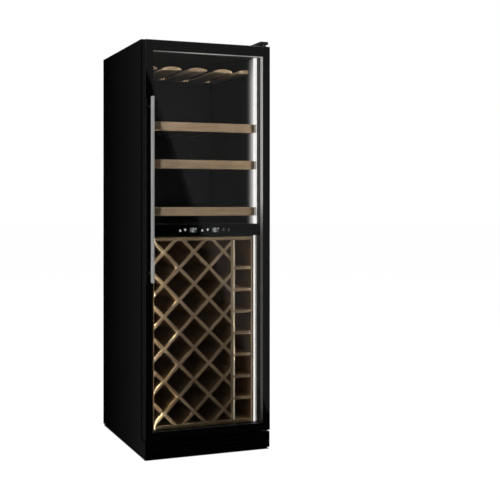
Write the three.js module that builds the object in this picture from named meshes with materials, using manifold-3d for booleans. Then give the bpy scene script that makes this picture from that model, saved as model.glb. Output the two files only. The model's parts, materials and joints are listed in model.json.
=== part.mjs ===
// A tall, free-standing two-zone wine cooler with a glass door.
// Upper zone: stemware rack and three sliding shelves. Lower zone: a diamond lattice rack of half-lapped
// boards with a column of bottle compartments beside it. Between them: an insulated divider with a touch panel.
// Units are millimetres. X runs across, Y runs back from the face of the closed door, Z is up from the floor.
import * as THREE from "three";
import { mergeVertices } from "three/addons/utils/BufferGeometryUtils.js";
import Module from "manifold-3d";

const wasm = await Module();
wasm.setup();

// ---------------------------------------------------------------- driving dimensions

const SEAT = 0.3; // gap kept between two pieces that rest on or against each other

// Cabinet
const WIDTH = 595;
const DEPTH = 685; // face of the closed door to the back
const CASE_TOP = 1838;
const CASE_BOTTOM = 8;
const CASE_SHEET = 1.2;
const CASE_RETURN = 18; // folded edge of the wrapper, front and back
const SIDE_WALL = 37.5; // outside of the case to the cavity
const CEILING_WALL = 51;
const BACK_WALL = 50;
const LINER_WALL = 2.5;
const FLOOR_TOP = 106;
const FOAM_BOTTOM = 62;
const MACHINE_TOP = 300; // machine compartment at the bottom of the back
const MACHINE_LENGTH = 215;
const STEP_WALL = 40; // insulation between the machine compartment and the cavity
const LEDGE_WIDTH = 14; // moulded ledges of the liner that carry shelves
const LEDGE_HEIGHT = 10;
const LEDGE_FRONT = 105;

// Base, kick plate and feet
const PAN_SHEET = 1.5;
const PAN_FRONT = 66;
const KICK_TOP = 80;
const KICK_FACE = 5; // behind the door face
const KICK_SHEET = 1.5;
const KICK_SHELF = 50; // top fold of the kick plate
const VENT_INNER = 35;
const VENT_OUTER = 228;
const VENT_PITCH = 18;
const VENT_HEIGHT = 5;
const VENTS = 4;
const FOOT_RADIUS = 22;
const FOOT_STEM = 4.5;
const FOOT_STEM_TOP = 40;
const FOOT_INSET = 47.5; // from the side of the case to the middle of a foot
const FOOT_FRONT = 100;
const GLIDE_BACK = 45; // from the back to the middle of a rear glide
const GLIDE_RADIUS = 15;

// Door
const DOOR_THICKNESS = 50;
const DOOR_BOTTOM = 87;
const DOOR_DROP = 10; // the door ends this far below the top of the case
const PANE = 4;
const PANE_GAP = 27;
const SPACER_WIDTH = 8;
const SPACER_INSET = 0.5; // the spacer stands just behind the edge of the clear opening
const FRAME_SIDE = 34;
const FRAME_TOP = 47;
const FRAME_BOTTOM = 33;
const REBATE = 10; // the frame's seat round the inner pane
const GASKET_THICKNESS = 13;
const GASKET_WIDTH = 12;
const GASKET_INSET = 14;
const GASKET_FOOT = 2.5; // the gasket's lower run, above the bottom edge of the door

// Door hinge and handle
const HINGE_INSET = 13; // hinge axis, from the side of the door
const HINGE_DEPTH = 25; // hinge axis, behind the door face
const PIN_RADIUS = 5;
const PIN_CLEARANCE = 0.4;
const PIN_LENGTH = 18; // how far a hinge pin reaches into the door
const HINGE_PLATE = 4;
const HINGE_WIDTH = 33;
const HINGE_LENGTH = 114;
const COVER_WIDTH = 40;
const COVER_LENGTH = 130;
const COVER_HEIGHT = 12;
const COVER_WALL = 2;
const COVER_FRONT = 3;
const COVER_SIDE_GAP = 5.5;
const HINGE_DROP = 46; // height of the bottom bracket's leg
const HANDLE_WIDTH = 11;
const HANDLE_DEPTH = 20;
const HANDLE_PROJECTION = 58; // front of the handle, ahead of the door face
const HANDLE_EDGE = 11; // side of the door to the handle
const HANDLE_BOTTOM = 775;
const HANDLE_LENGTH = 800;
const POST_RADIUS = 4.5;
const POST_INSET = 40;
const POST_FLANGE = 3;

// Zone divider, control panel and light strips
const DIVIDER_BOTTOM = 970;
const DIVIDER_HEIGHT = 53;
const PANEL_FACE = 70; // also the plane of the shelf fronts
const PANEL_THICKNESS = 12;
const PANEL_CORNER = 9;
const STRIP_THICKNESS = 3;
const STRIP_DEPTH = 34;

// Sliding shelves
const SHELF_RISES = [470, 302, 90]; // bottom of each front, above the bottom of the divider
const SHELF_FRONT_HEIGHT = 39;
const SHELF_FRONT_THICKNESS = 20;
const SHELF_SIDE_GAP = 4.5;
const SHELF_BACK_GAP = 60; // between a shelf and the back of the cavity
const WIRE_RAIL = 8;
const WIRE_RAIL_HEIGHT = 6;
const WIRE_RAIL_RISE = 12; // bottom of the wire frame, above the bottom of the wood front
const WIRE_RADIUS = 2.5;
const BOTTLES_ACROSS = 5;
const CRADLE_DROP = 10;
const CRADLE_STEPS = 5; // straight stretches of wire for each bottle
const CRADLE_WIRES = 2;

// Stemware rack
const STEM_RAIL_WIDTH = 88;
const STEM_RAIL_EDGE = 9;
const STEM_RAIL_CROWN = 17;
const STEM_RAIL_PITCH = 125.5;
const STEM_RAIL_LENGTH = 343;
const STEM_FACE = 137;
const STEM_DROP = 67; // underside of the rails, below the ceiling
const STEM_SIDE_REACH = 56; // width of a half rail at each side
const STEM_SIDE_GAP = 7;
const STEM_ARCH_STEPS = 8;
const STEM_BOARD = 20; // thickness of the board that the rails run forward from
const STEM_BOARD_HEIGHT = 15;
const STEM_LEDGE_FRONT = 200;

// Bottle rack of the lower zone
const RACK_FACE = 88;
const RACK_BACK_GAP = 42; // between the rack and the step over the machine compartment
const RACK_HEADROOM = 6; // between the rack and the divider
const RACK_LEFT_GAP = 27;
const RACK_RIGHT_GAP = 8;
const SIDE_BOARD = 8;
const LEFT_SETBACK = 10;
const RIGHT_SETBACK = 4;
const TOP_BOARD = 16;
const BOTTOM_BOARD = 18;
const UPRIGHT = 21;
const COLUMN_WIDTH = 80; // clear width of the bottle compartments beside the lattice
const COLUMN_BOARD = 13;
const COLUMN_BOARDS = 7;
const COLUMN_TOP_BAY = 122.5; // the top compartment is the tallest
const COLUMN_BOTTOM_BAY = 90.5;
const LIT_CHAMFER = 8; // cut corner of the boards that face the right-hand light strip
const LATTICE_BOARD = 12;
const LATTICE_SETBACK = 2;
const LATTICE_COLUMNS = 5; // columns and rows of crossings
const LATTICE_ROWS = 11;
const LATTICE_END = 51; // first and last crossing rows, from the boards above and below
const LATTICE_SHIFT = 4.5; // the crossings stand a little right of the middle of their bay
const LAP_CLEARANCE = 0.3;
const EASE = 1; // softened edge of the wooden boards
const SHORTEST_EDGE = 3 * EASE; // a shorter side of an outline couldn't take the softened edge

// Air ducts, fans and cooling machinery
const DUCT_DEPTH = 42;
const DUCT_WALL = 2.5;
const DUCT_SIDE_GAP = 40;
const DUCT_END_GAP = 24;
const DUCT_SLOTS = 4;
const FAN_RADIUS = 44;
const FAN_HUB = 15;
const FAN_WIDTH = 17;
const FAN_BLADES = 7;
const FAN_TIP_GAP = 4;
const FAN_MOTOR = 9; // length of the motor boss behind the fan grille
const COOLER_FAN_RADIUS = 64;
const COOLER_FAN_WIDTH = 22;
const PARTITION_X = 20;
const COMPRESSOR_RADIUS = 76;
const COMPRESSOR_HEIGHT = 172;
const COMPRESSOR_SEAM = 98; // height of the weld seam above the foot plate
const COMPRESSOR_X = -125;
const COMPRESSOR_FOOT = [184, 140];
const COMPRESSOR_FOOT_SHEET = 3;
const GROMMET_RADIUS = 10;
const GROMMET_HEIGHT = 18;
const GROMMET_INSET = 16;
const TRAY_SEAT = 24; // radius of the flat crown that carries the drip tray
const TRAY_LENGTH = 156;
const TRAY_WIDTH = 120;
const TRAY_HEIGHT = 34;
const TRAY_WALL = 2;
const CONDENSER_X = 120;
const CONDENSER_WIDTH = 66;
const CONDENSER_HEIGHT = 190;
const CONDENSER_FINS = 9;
const CONDENSER_ROWS = 2;
const CONDENSER_TUBE_END = 33; // top and bottom tubes, from the ends of the fins
const CONDENSER_LIFT = 14; // the inner fins hang this far above the base pan
const COOLER_MOTOR = 36;
const LOUVRES = 6;
const LOUVRE_SHARE = 0.62; // of half the width
const INLET_INSET = 72.5; // from the side of the case to the middle of the inlet
const INLET_Z = 275;
const INLET_WIDTH = 48;
const INLET_HEIGHT = 26;
const INLET_DEPTH = 30;
const INLET_FLANGE = 5;
const INLET_WALL = 5;
const INLET_PIN = [2, 4, 14]; // width, height and length of a contact pin

// ---------------------------------------------------------------- derived places

const HALF = WIDTH / 2;
const CAVITY_HALF = HALF - SIDE_WALL;
const CASE_INNER = HALF - CASE_SHEET;
const CASE_FRONT = DOOR_THICKNESS + GASKET_THICKNESS;
const CEILING = CASE_TOP - CEILING_WALL;
const CAVITY_BACK = DEPTH - BACK_WALL;
const SHELF_BACK = CAVITY_BACK - SHELF_BACK_GAP;
const MACHINE_FRONT = DEPTH - MACHINE_LENGTH;
const STEP_FRONT = MACHINE_FRONT - STEP_WALL;
const STEP_TOP = MACHINE_TOP + STEP_WALL;
const DOOR_TOP = CASE_TOP - DOOR_DROP;
const FRAME_FRONT = PANE + SEAT;
const INNER_PANE_FRONT = PANE + PANE_GAP;
const LIP_FRONT = INNER_PANE_FRONT + PANE + SEAT;
const HINGE_X = HALF - HINGE_INSET;
const DIVIDER_TOP = DIVIDER_BOTTOM + DIVIDER_HEIGHT;
const STRIP_FACE = CAVITY_HALF - SEAT - STRIP_THICKNESS;
const SHELF_HALF = CAVITY_HALF - SHELF_SIDE_GAP;
const SHELF_BACK_OF_FRONT = PANEL_FACE + SHELF_FRONT_THICKNESS;
const STEM_BOTTOM = CEILING - STEM_DROP;
const RACK_BACK = STEP_FRONT - RACK_BACK_GAP;
const RACK_BOTTOM = FLOOR_TOP + SEAT;
const RACK_TOP = DIVIDER_BOTTOM - RACK_HEADROOM;
const RACK_LEFT = -CAVITY_HALF + RACK_LEFT_GAP;
const RACK_RIGHT = CAVITY_HALF - RACK_RIGHT_GAP;
const BAY_LEFT = RACK_LEFT + SIDE_BOARD; // between the side boards
const BAY_RIGHT = RACK_RIGHT - SIDE_BOARD;
const BAY_BOTTOM = RACK_BOTTOM + BOTTOM_BOARD;
const BAY_TOP = RACK_TOP - TOP_BOARD;
const UPRIGHT_RIGHT = BAY_RIGHT - COLUMN_WIDTH;
const UPRIGHT_LEFT = UPRIGHT_RIGHT - UPRIGHT;
const LATTICE_FRONT = RACK_FACE + LATTICE_SETBACK;
const DUCT_FACE = CAVITY_BACK - SEAT - DUCT_DEPTH;
const MACHINE_MIDDLE = DEPTH - MACHINE_LENGTH / 2;
const PAN_TOP = CASE_BOTTOM + PAN_SHEET;
const INLET_X = HALF - INLET_INSET;
const ORIGIN_Y = (HANDLE_PROJECTION - DEPTH) / 2; // middle of the depth, handle included

// ---------------------------------------------------------------- finishes

const finish = (color, roughness, metalness = 0) =>
  new THREE.MeshStandardMaterial({ color, roughness, metalness });

const BLACK_PAINT = finish(0x161616, 0.42);
const DARK_PLASTIC = finish(0x1b1b1c, 0.55);
const GLOSS_PANEL = finish(0x070708, 0.12);
const LINER_PLASTIC = finish(0x242322, 0.6);
const FOAM = finish(0xd9c48c, 0.95);
const RUBBER = finish(0x101010, 0.85);
const GLASS = finish(0x0b0d0e, 0.05);
const BRUSHED = finish(0xb9b9b7, 0.35, 1);
const ZINC = finish(0x9a9a98, 0.45, 1);
const BEECH = finish(0x9a7a55, 0.6);
const WIRE = finish(0x141414, 0.4, 0.2);
const LENS = finish(0xf4f1ea, 0.4);
const MACHINE_BLACK = finish(0x121212, 0.5);

// ---------------------------------------------------------------- shape helpers

// A closed geometry as a manifold-3d solid.
function toSolid(geometry) {
  const bare = geometry.clone();
  bare.deleteAttribute("normal");
  bare.deleteAttribute("uv");
  const welded = mergeVertices(bare, 1e-4);
  return new wasm.Manifold(
    new wasm.Mesh({
      numProp: 3,
      vertProperties: new Float32Array(welded.attributes.position.array),
      triVerts: new Uint32Array(welded.index.array),
    }),
  );
}

// A manifold-3d solid as a geometry with flat faces.
function toGeometry(solid) {
  const { numProp, vertProperties, triVerts } = solid.getMesh();
  const places = new Float32Array((vertProperties.length / numProp) * 3);
  for (let i = 0; i < places.length / 3; i++)
    places.set(vertProperties.subarray(i * numProp, i * numProp + 3), i * 3);
  const geometry = new THREE.BufferGeometry();
  geometry.setAttribute("position", new THREE.BufferAttribute(places, 3));
  geometry.setIndex(new THREE.BufferAttribute(new Uint32Array(triVerts), 1));
  const flat = geometry.toNonIndexed();
  flat.computeVertexNormals();
  return flat;
}

const join = (...shapes) => toGeometry(shapes.map(toSolid).reduce((all, one) => all.add(one)));

const cut = (body, ...tools) =>
  toGeometry(tools.map(toSolid).reduce((left, tool) => left.subtract(tool), toSolid(body)));

function piece(name, geometry, material) {
  const mesh = new THREE.Mesh(geometry, material);
  mesh.name = name;
  return mesh;
}

function at(object, x, y, z) {
  object.position.set(x, y, z);
  return object;
}

// A box between two corners.
function block(x0, y0, z0, x1, y1, z1) {
  const geometry = new THREE.BoxGeometry(x1 - x0, y1 - y0, z1 - z0);
  return geometry.translate((x0 + x1) / 2, (y0 + y1) / 2, (z0 + z1) / 2);
}

const polygon = (points) => new THREE.Shape(points.map(([a, b]) => new THREE.Vector2(a, b)));

// A rectangle with round corners, counter-clockwise.
function roundedRectangle(a0, b0, a1, b1, radius) {
  const shape = new THREE.Shape();
  shape.absarc(a1 - radius, b0 + radius, radius, -Math.PI / 2, 0);
  shape.absarc(a1 - radius, b1 - radius, radius, 0, Math.PI / 2);
  shape.absarc(a0 + radius, b1 - radius, radius, Math.PI / 2, Math.PI);
  shape.absarc(a0 + radius, b0 + radius, radius, Math.PI, (Math.PI * 3) / 2);
  shape.closePath();
  return shape;
}

function withHole(shape, hole) {
  shape.holes.push(hole);
  return shape;
}

// An extrusion whose end edges are eased by a chamfer.
function extrusion(shape, length, ease, curveSegments) {
  return new THREE.ExtrudeGeometry(shape, {
    depth: length - 2 * ease,
    curveSegments,
    bevelEnabled: ease > 0,
    bevelThickness: ease,
    bevelSize: ease,
    bevelOffset: -ease,
    bevelSegments: 1,
  }).translate(0, 0, ease);
}

// The outline lies in X and Z and runs along Y. A quarter arc gets 2 * segments chords.
function alongY(shape, y0, y1, { ease = 0, segments = 1 } = {}) {
  return extrusion(shape, y1 - y0, ease, segments).rotateX(Math.PI / 2).translate(0, y1, 0);
}

// The outline lies in Y and Z and runs along X.
function alongX(shape, x0, x1, { ease = 0, segments = 1 } = {}) {
  const turn = new THREE.Matrix4().makeBasis(
    new THREE.Vector3(0, 1, 0),
    new THREE.Vector3(0, 0, 1),
    new THREE.Vector3(1, 0, 0),
  );
  return extrusion(shape, x1 - x0, ease, segments).applyMatrix4(turn).translate(x0, 0, 0);
}

// The outline lies in X and Y and runs up Z.
function alongZ(shape, z0, z1, { ease = 0, segments = 1 } = {}) {
  return extrusion(shape, z1 - z0, ease, segments).translate(0, 0, z0);
}

// An upright cylinder.
function post(x, y, z0, z1, radius, sides = 16) {
  const geometry = new THREE.CylinderGeometry(radius, radius, z1 - z0, sides);
  return geometry.rotateX(Math.PI / 2).translate(x, y, (z0 + z1) / 2);
}

// A cylinder that runs along Y.
function pegY(x, y0, y1, z, radius, sides = 16) {
  const geometry = new THREE.CylinderGeometry(radius, radius, y1 - y0, sides);
  return geometry.translate(x, (y0 + y1) / 2, z);
}

// A wire of six-sided section along a curve.
function wire(curve, radius, steps) {
  const section = new THREE.Shape();
  section.absarc(0, 0, radius, 0, Math.PI * 2);
  return new THREE.ExtrudeGeometry(section, {
    steps,
    extrudePath: curve,
    curveSegments: 3,
    bevelEnabled: false,
  });
}

// ---------------------------------------------------------------- cabinet shell

// The painted wrapper: left side, top and right side in one sheet, folded in at the front and back.
function outerCase() {
  const back = DEPTH - CASE_SHEET - SEAT;
  const wrapper = (inset) =>
    polygon([
      [-HALF, CASE_BOTTOM],
      [-HALF + inset, CASE_BOTTOM],
      [-HALF + inset, CASE_TOP - inset],
      [HALF - inset, CASE_TOP - inset],
      [HALF - inset, CASE_BOTTOM],
      [HALF, CASE_BOTTOM],
      [HALF, CASE_TOP],
      [-HALF, CASE_TOP],
    ]);
  return piece(
    "outer_case",
    join(
      alongY(wrapper(CASE_SHEET), CASE_FRONT, back),
      alongY(wrapper(CASE_RETURN), CASE_FRONT, CASE_FRONT + CASE_SHEET),
      alongY(wrapper(CASE_RETURN), back - CASE_SHEET, back),
    ),
    BLACK_PAINT,
  );
}

// The cavity's side view with a step over the machine compartment, grown outwards by a wall.
function cavityProfile(grow, front) {
  return polygon([
    [front, FLOOR_TOP - grow],
    [STEP_FRONT + grow, FLOOR_TOP - grow],
    [STEP_FRONT + grow, STEP_TOP - grow],
    [CAVITY_BACK + grow, STEP_TOP - grow],
    [CAVITY_BACK + grow, CEILING + grow],
    [front, CEILING + grow],
  ]);
}

const cavity = (grow, front) =>
  alongX(cavityProfile(grow, front), -CAVITY_HALF - grow, CAVITY_HALF + grow);

function insulation() {
  const side = CASE_INNER - SEAT;
  const front = CASE_FRONT + LINER_WALL + SEAT;
  const back = DEPTH - 2 * CASE_SHEET - 2 * SEAT;
  const top = CASE_TOP - CASE_SHEET - SEAT;
  const profile = polygon([
    [front, FOAM_BOTTOM],
    [MACHINE_FRONT, FOAM_BOTTOM],
    [MACHINE_FRONT, MACHINE_TOP],
    [back, MACHINE_TOP],
    [back, top],
    [front, top],
  ]);
  const room = cavity(LINER_WALL + SEAT, front - LINER_WALL);
  return piece("insulation", cut(alongX(profile, -side, side), room), FOAM);
}

// A pair of ledges on the side walls. Their tops are at z.
function ledgePair(z, y0, y1, height = LEDGE_HEIGHT) {
  const reach = CAVITY_HALF + LINER_WALL / 2;
  return [-1, 1].map((side) => {
    const edges = [side * (CAVITY_HALF - LEDGE_WIDTH), side * reach].sort((a, b) => a - b);
    return block(edges[0], y0, z - height, edges[1], y1, z);
  });
}

function innerLiner() {
  const flangeHalf = HALF - CASE_RETURN - SEAT;
  const flangeTop = CASE_TOP - CASE_RETURN - SEAT;
  const flange = block(
    -flangeHalf,
    CASE_FRONT,
    FOAM_BOTTOM,
    flangeHalf,
    CASE_FRONT + LINER_WALL,
    flangeTop,
  );
  const shell = cut(
    join(cavity(LINER_WALL, CASE_FRONT), flange),
    cavity(0, CASE_FRONT - LINER_WALL),
  );
  const shelfLedges = SHELF_RISES.flatMap((rise) =>
    ledgePair(DIVIDER_BOTTOM + rise + WIRE_RAIL_RISE - SEAT, LEDGE_FRONT, SHELF_BACK - WIRE_RAIL),
  );
  const dividerLedges = ledgePair(
    DIVIDER_BOTTOM - SEAT,
    LEDGE_FRONT,
    CAVITY_BACK - DUCT_DEPTH,
    RACK_HEADROOM - 2 * SEAT - 0.5,
  );
  const stemLedges = ledgePair(
    STEM_BOTTOM - SEAT,
    STEM_LEDGE_FRONT,
    STEM_FACE + STEM_RAIL_LENGTH + STEM_BOARD,
  );
  return piece(
    "inner_liner",
    join(shell, ...shelfLedges, ...dividerLedges, ...stemLedges),
    LINER_PLASTIC,
  );
}

// The flat back sheet, louvred where it closes the machine compartment.
function rearPanel() {
  const sheet = polygon([
    [-HALF, CASE_BOTTOM],
    [HALF, CASE_BOTTOM],
    [HALF, CASE_TOP],
    [-HALF, CASE_TOP],
  ]);
  const louvreLength = HALF * LOUVRE_SHARE;
  const pitch = (MACHINE_TOP - PAN_TOP) / (LOUVRES + 2);
  for (let row = 1; row <= LOUVRES; row++)
    for (const side of [-1, 1]) {
      const middle = (side * HALF) / 2;
      const z = PAN_TOP + pitch * (row + 0.5);
      sheet.holes.push(
        roundedRectangle(middle - louvreLength / 2, z - 3, middle + louvreLength / 2, z + 3, 2.9),
      );
    }
  sheet.holes.push(
    roundedRectangle(
      INLET_X - INLET_WIDTH / 2 - SEAT,
      INLET_Z - INLET_HEIGHT / 2 - SEAT,
      INLET_X + INLET_WIDTH / 2 + SEAT,
      INLET_Z + INLET_HEIGHT / 2 + SEAT,
      2 * SEAT,
    ),
  );
  return piece("rear_panel", alongY(sheet, DEPTH - CASE_SHEET, DEPTH), BLACK_PAINT);
}

// The mains inlet: a moulded housing behind the rear panel with three pins in its open socket.
function mainsInlet() {
  const [halfWidth, halfHeight] = [INLET_WIDTH / 2, INLET_HEIGHT / 2];
  const socketWidth = halfWidth - INLET_WALL;
  const socketHeight = halfHeight - INLET_WALL;
  const bottom = DEPTH - INLET_DEPTH + INLET_WALL;
  const inner = DEPTH - CASE_SHEET - SEAT;
  const box = (grow, y0, y1) =>
    block(
      -halfWidth - grow,
      y0,
      -halfHeight - grow,
      halfWidth + grow,
      y1,
      halfHeight + grow,
    );
  const socket = polygon([
    [-socketWidth, -socketHeight],
    [socketWidth, -socketHeight],
    [socketWidth, socketHeight - INLET_WALL],
    [socketWidth - INLET_WALL, socketHeight],
    [-socketWidth + INLET_WALL, socketHeight],
    [-socketWidth, socketHeight - INLET_WALL],
  ]);
  const [pinWidth, pinHeight, pinLength] = INLET_PIN;
  const pins = [-1, 0, 1].map((place) => {
    const x = (place * socketWidth) / 2;
    const z = place === 0 ? pinHeight / 2 : -pinHeight / 2;
    return block(
      x - pinWidth / 2,
      bottom - 1,
      z - pinHeight / 2,
      x + pinWidth / 2,
      bottom + pinLength,
      z + pinHeight / 2,
    );
  });
  const housing = cut(
    join(box(0, DEPTH - INLET_DEPTH, DEPTH), box(INLET_FLANGE, inner - 2 * CASE_SHEET, inner)),
    alongY(socket, bottom, DEPTH + 1),
  );
  return at(piece("mains_inlet", join(housing, ...pins), DARK_PLASTIC), INLET_X, 0, INLET_Z);
}

// ---------------------------------------------------------------- base

// The steel base: an upturned tray with rear glides, and the partition that parts intake air from
// exhaust air and carries the cooling fan's motor.
function basePan() {
  const side = CASE_INNER - SEAT;
  const flange = FOAM_BOTTOM - SEAT;
  const back = DEPTH - 2 * CASE_SHEET - 2 * SEAT;
  const tray = polygon([
    [-side, CASE_BOTTOM],
    [side, CASE_BOTTOM],
    [side, flange],
    [side - PAN_SHEET, flange],
    [side - PAN_SHEET, PAN_TOP],
    [-side + PAN_SHEET, PAN_TOP],
    [-side + PAN_SHEET, flange],
    [-side, flange],
  ]);
  const top = MACHINE_TOP - SEAT;
  const partition = polygon([
    [PAN_FRONT, CASE_BOTTOM + PAN_SHEET / 2],
    [back, CASE_BOTTOM + PAN_SHEET / 2],
    [back, top],
    [MACHINE_FRONT + SEAT, top],
    [MACHINE_FRONT + SEAT, flange],
    [PAN_FRONT, flange],
  ]);
  const opening = new THREE.Path();
  opening.absarc(MACHINE_MIDDLE, coolerFanHeight(), COOLER_FAN_RADIUS + FAN_TIP_GAP, 0, Math.PI * 2);
  partition.holes.push(opening);
  const motor = new THREE.CylinderGeometry(FAN_HUB + 4, FAN_HUB + 4, COOLER_MOTOR, 16);
  motor.rotateZ(Math.PI / 2);
  motor.translate(PARTITION_X + PAN_SHEET - COOLER_MOTOR / 2, MACHINE_MIDDLE, coolerFanHeight());
  const reach = COOLER_FAN_RADIUS + FAN_TIP_GAP + 4;
  const struts = [0, 1, 2].map((n) => {
    const strut = block(0, -4, 0, PAN_SHEET, 4, reach);
    return strut
      .rotateX((n * Math.PI * 2) / 3)
      .translate(PARTITION_X, MACHINE_MIDDLE, coolerFanHeight());
  });
  const glides = [-1, 1].map((sign) =>
    post(sign * (HALF - FOOT_INSET), DEPTH - GLIDE_BACK, 0, CASE_BOTTOM + 1, GLIDE_RADIUS),
  );
  const footHoles = [-1, 1].map((sign) =>
    post(sign * (HALF - FOOT_INSET), FOOT_FRONT, 0, PAN_TOP + 1, FOOT_STEM + SEAT),
  );
  return piece(
    "base_pan",
    cut(
      join(
        alongY(tray, PAN_FRONT, back),
        alongX(partition, PARTITION_X, PARTITION_X + PAN_SHEET, { segments: 12 }),
        motor,
        ...struts,
        ...glides,
      ),
      ...footHoles,
    ),
    ZINC,
  );
}

function coolerFanHeight() {
  return (PAN_TOP + MACHINE_TOP) / 2;
}

// A levelling foot: a round pad with a threaded stem that rises through the base pan.
function levellingFoot(name, side) {
  const padTop = CASE_BOTTOM - SEAT;
  const profile = [
    [0, 0],
    [FOOT_RADIUS - 2, 0],
    [FOOT_RADIUS, 2],
    [FOOT_RADIUS, padTop - 1],
    [FOOT_RADIUS - 1, padTop],
    [FOOT_STEM, padTop],
    [FOOT_STEM, FOOT_STEM_TOP - 1],
    [FOOT_STEM - 1, FOOT_STEM_TOP],
    [0, FOOT_STEM_TOP],
  ].map(([r, z]) => new THREE.Vector2(r, z));
  const foot = new THREE.LatheGeometry(profile, 16).rotateX(Math.PI / 2);
  return at(piece(name, foot, RUBBER), side * (HALF - FOOT_INSET), FOOT_FRONT, 0);
}

// The kick plate under the door: a folded sheet with two groups of air slots.
function kickPlate() {
  const top = KICK_TOP;
  const face = polygon([
    [-HALF, CASE_BOTTOM],
    [HALF, CASE_BOTTOM],
    [HALF, top],
    [-HALF, top],
  ]);
  const middle = (CASE_BOTTOM + top) / 2;
  for (let n = 0; n < VENTS; n++)
    for (const side of [-1, 1]) {
      const z = middle + (n - (VENTS - 1) / 2) * VENT_PITCH;
      const [a, b] = [side * VENT_INNER, side * VENT_OUTER].sort((p, q) => p - q);
      const half = VENT_HEIGHT / 2;
      face.holes.push(roundedRectangle(a, z - half, b, z + half, half - 0.1));
    }
  const back = CASE_FRONT - SEAT;
  const returns = [-1, 1].map((side) => {
    const [a, b] = [side * (HALF - KICK_SHEET), side * HALF].sort((p, q) => p - q);
    return block(a, KICK_FACE, CASE_BOTTOM, b, back, top);
  });
  const shelf = block(-HALF, KICK_FACE, top - KICK_SHEET, HALF, KICK_FACE + KICK_SHELF, top);
  return piece(
    "kick_plate",
    join(alongY(face, KICK_FACE, KICK_FACE + KICK_SHEET), shelf, ...returns),
    BLACK_PAINT,
  );
}

// ---------------------------------------------------------------- cooling machinery

// A hermetic compressor on its foot plate and four rubber grommets.
function compressor() {
  const base = PAN_TOP + SEAT;
  const plate = base + GROMMET_HEIGHT;
  const belly = COMPRESSOR_RADIUS;
  const lip = belly * 1.07;
  const seam = plate + COMPRESSOR_SEAM;
  const crown = plate + COMPRESSOR_HEIGHT;
  const profile = new THREE.Path();
  profile.moveTo(0, plate);
  profile.lineTo(belly * 0.7, plate);
  profile.quadraticCurveTo(belly, plate, belly, plate + belly / 2);
  profile.lineTo(belly, seam);
  profile.lineTo(lip, seam + 1);
  profile.lineTo(lip, seam + 6);
  profile.lineTo(belly, seam + 7);
  profile.bezierCurveTo(belly, crown - 12, belly * 0.6, crown, TRAY_SEAT, crown);
  profile.lineTo(0, crown);
  const shell = new THREE.LatheGeometry(profile.getPoints(3), 18).rotateX(Math.PI / 2);
  const [footX, footY] = COMPRESSOR_FOOT.map((size) => size / 2);
  const foot = roundedRectangle(-footX, -footY, footX, footY, GROMMET_INSET - 2);
  const top = plate + COMPRESSOR_FOOT_SHEET;
  const grommets = [-1, 1].flatMap((a) =>
    [-1, 1].map((b) =>
      post(
        a * (footX - GROMMET_INSET),
        b * (footY - GROMMET_INSET),
        base,
        top + COMPRESSOR_FOOT_SHEET,
        GROMMET_RADIUS,
        12,
      ),
    ),
  );
  const body = join(shell, alongZ(foot, plate, top), ...grommets);
  return at(piece("compressor", body, MACHINE_BLACK), COMPRESSOR_X, MACHINE_MIDDLE, 0);
}

// The tray on the compressor's warm crown, where the cavity's drain water evaporates.
function dripTray() {
  const bottom = PAN_TOP + GROMMET_HEIGHT + COMPRESSOR_HEIGHT + 2 * SEAT;
  const outline = (inset, radius) =>
    roundedRectangle(
      -TRAY_LENGTH / 2 + inset,
      -TRAY_WIDTH / 2 + inset,
      TRAY_LENGTH / 2 - inset,
      TRAY_WIDTH / 2 - inset,
      radius,
    );
  const tray = cut(
    alongZ(outline(0, 12), bottom, bottom + TRAY_HEIGHT, { segments: 2 }),
    alongZ(outline(TRAY_WALL, 12 - TRAY_WALL), bottom + TRAY_WALL, bottom + TRAY_HEIGHT + 1, {
      segments: 2,
    }),
  );
  return at(piece("drip_tray", tray, DARK_PLASTIC), COMPRESSOR_X, MACHINE_MIDDLE, 0);
}

// The condenser: fins on tubes that cross the air stream, held by two end plates on the base pan.
function condenser() {
  const depth = MACHINE_LENGTH * 0.8;
  const bottom = PAN_TOP + SEAT;
  const top = bottom + CONDENSER_HEIGHT;
  const y0 = MACHINE_MIDDLE - depth / 2;
  const pitch = depth / (CONDENSER_FINS - 1);
  const fins = [];
  for (let n = 0; n < CONDENSER_FINS; n++) {
    const end = n === 0 || n === CONDENSER_FINS - 1;
    const y = y0 + n * pitch;
    fins.push(
      block(
        CONDENSER_X - CONDENSER_WIDTH / 2,
        y - 0.6,
        end ? bottom : bottom + CONDENSER_LIFT,
        CONDENSER_X + CONDENSER_WIDTH / 2,
        y + 0.6,
        end ? top : top - CONDENSER_LIFT / 3,
      ),
    );
  }
  const tubePitch = (CONDENSER_HEIGHT - 2 * CONDENSER_TUBE_END) / (CONDENSER_ROWS - 1);
  const tubes = [];
  for (let row = 0; row < CONDENSER_ROWS; row++)
    for (const side of [-1, 1])
      tubes.push(
        pegY(
          CONDENSER_X + (side * CONDENSER_WIDTH) / 4,
          y0 - 4,
          y0 + depth + 4,
          bottom + CONDENSER_TUBE_END + row * tubePitch,
          4,
          6,
        ),
      );
  return piece("condenser", join(...fins, ...tubes), ZINC);
}

// An axial fan rotor whose axis is Z, with its hub's front face at zero.
function rotorGeometry(radius, hub, width, blades) {
  const body = new THREE.CylinderGeometry(hub, hub, width, 16).rotateX(Math.PI / 2);
  body.translate(0, 0, width / 2);
  const parts = [body];
  const chord = radius * 0.5;
  for (let n = 0; n < blades; n++) {
    const outline = new THREE.Shape();
    outline.moveTo(hub * 0.6, -chord * 0.3);
    outline.lineTo(radius * 0.8, -chord * 0.5);
    outline.quadraticCurveTo(radius * 0.97, -chord * 0.25, radius * 0.93, chord * 0.3);
    outline.lineTo(hub * 0.6, chord * 0.3);
    outline.closePath();
    const blade = extrusion(outline, 1.6, 0, 3).translate(0, 0, -0.8);
    blade.rotateX(0.5).translate(0, 0, width / 2);
    parts.push(blade.rotateZ((n * 2 * Math.PI) / blades));
  }
  return join(...parts);
}

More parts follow.
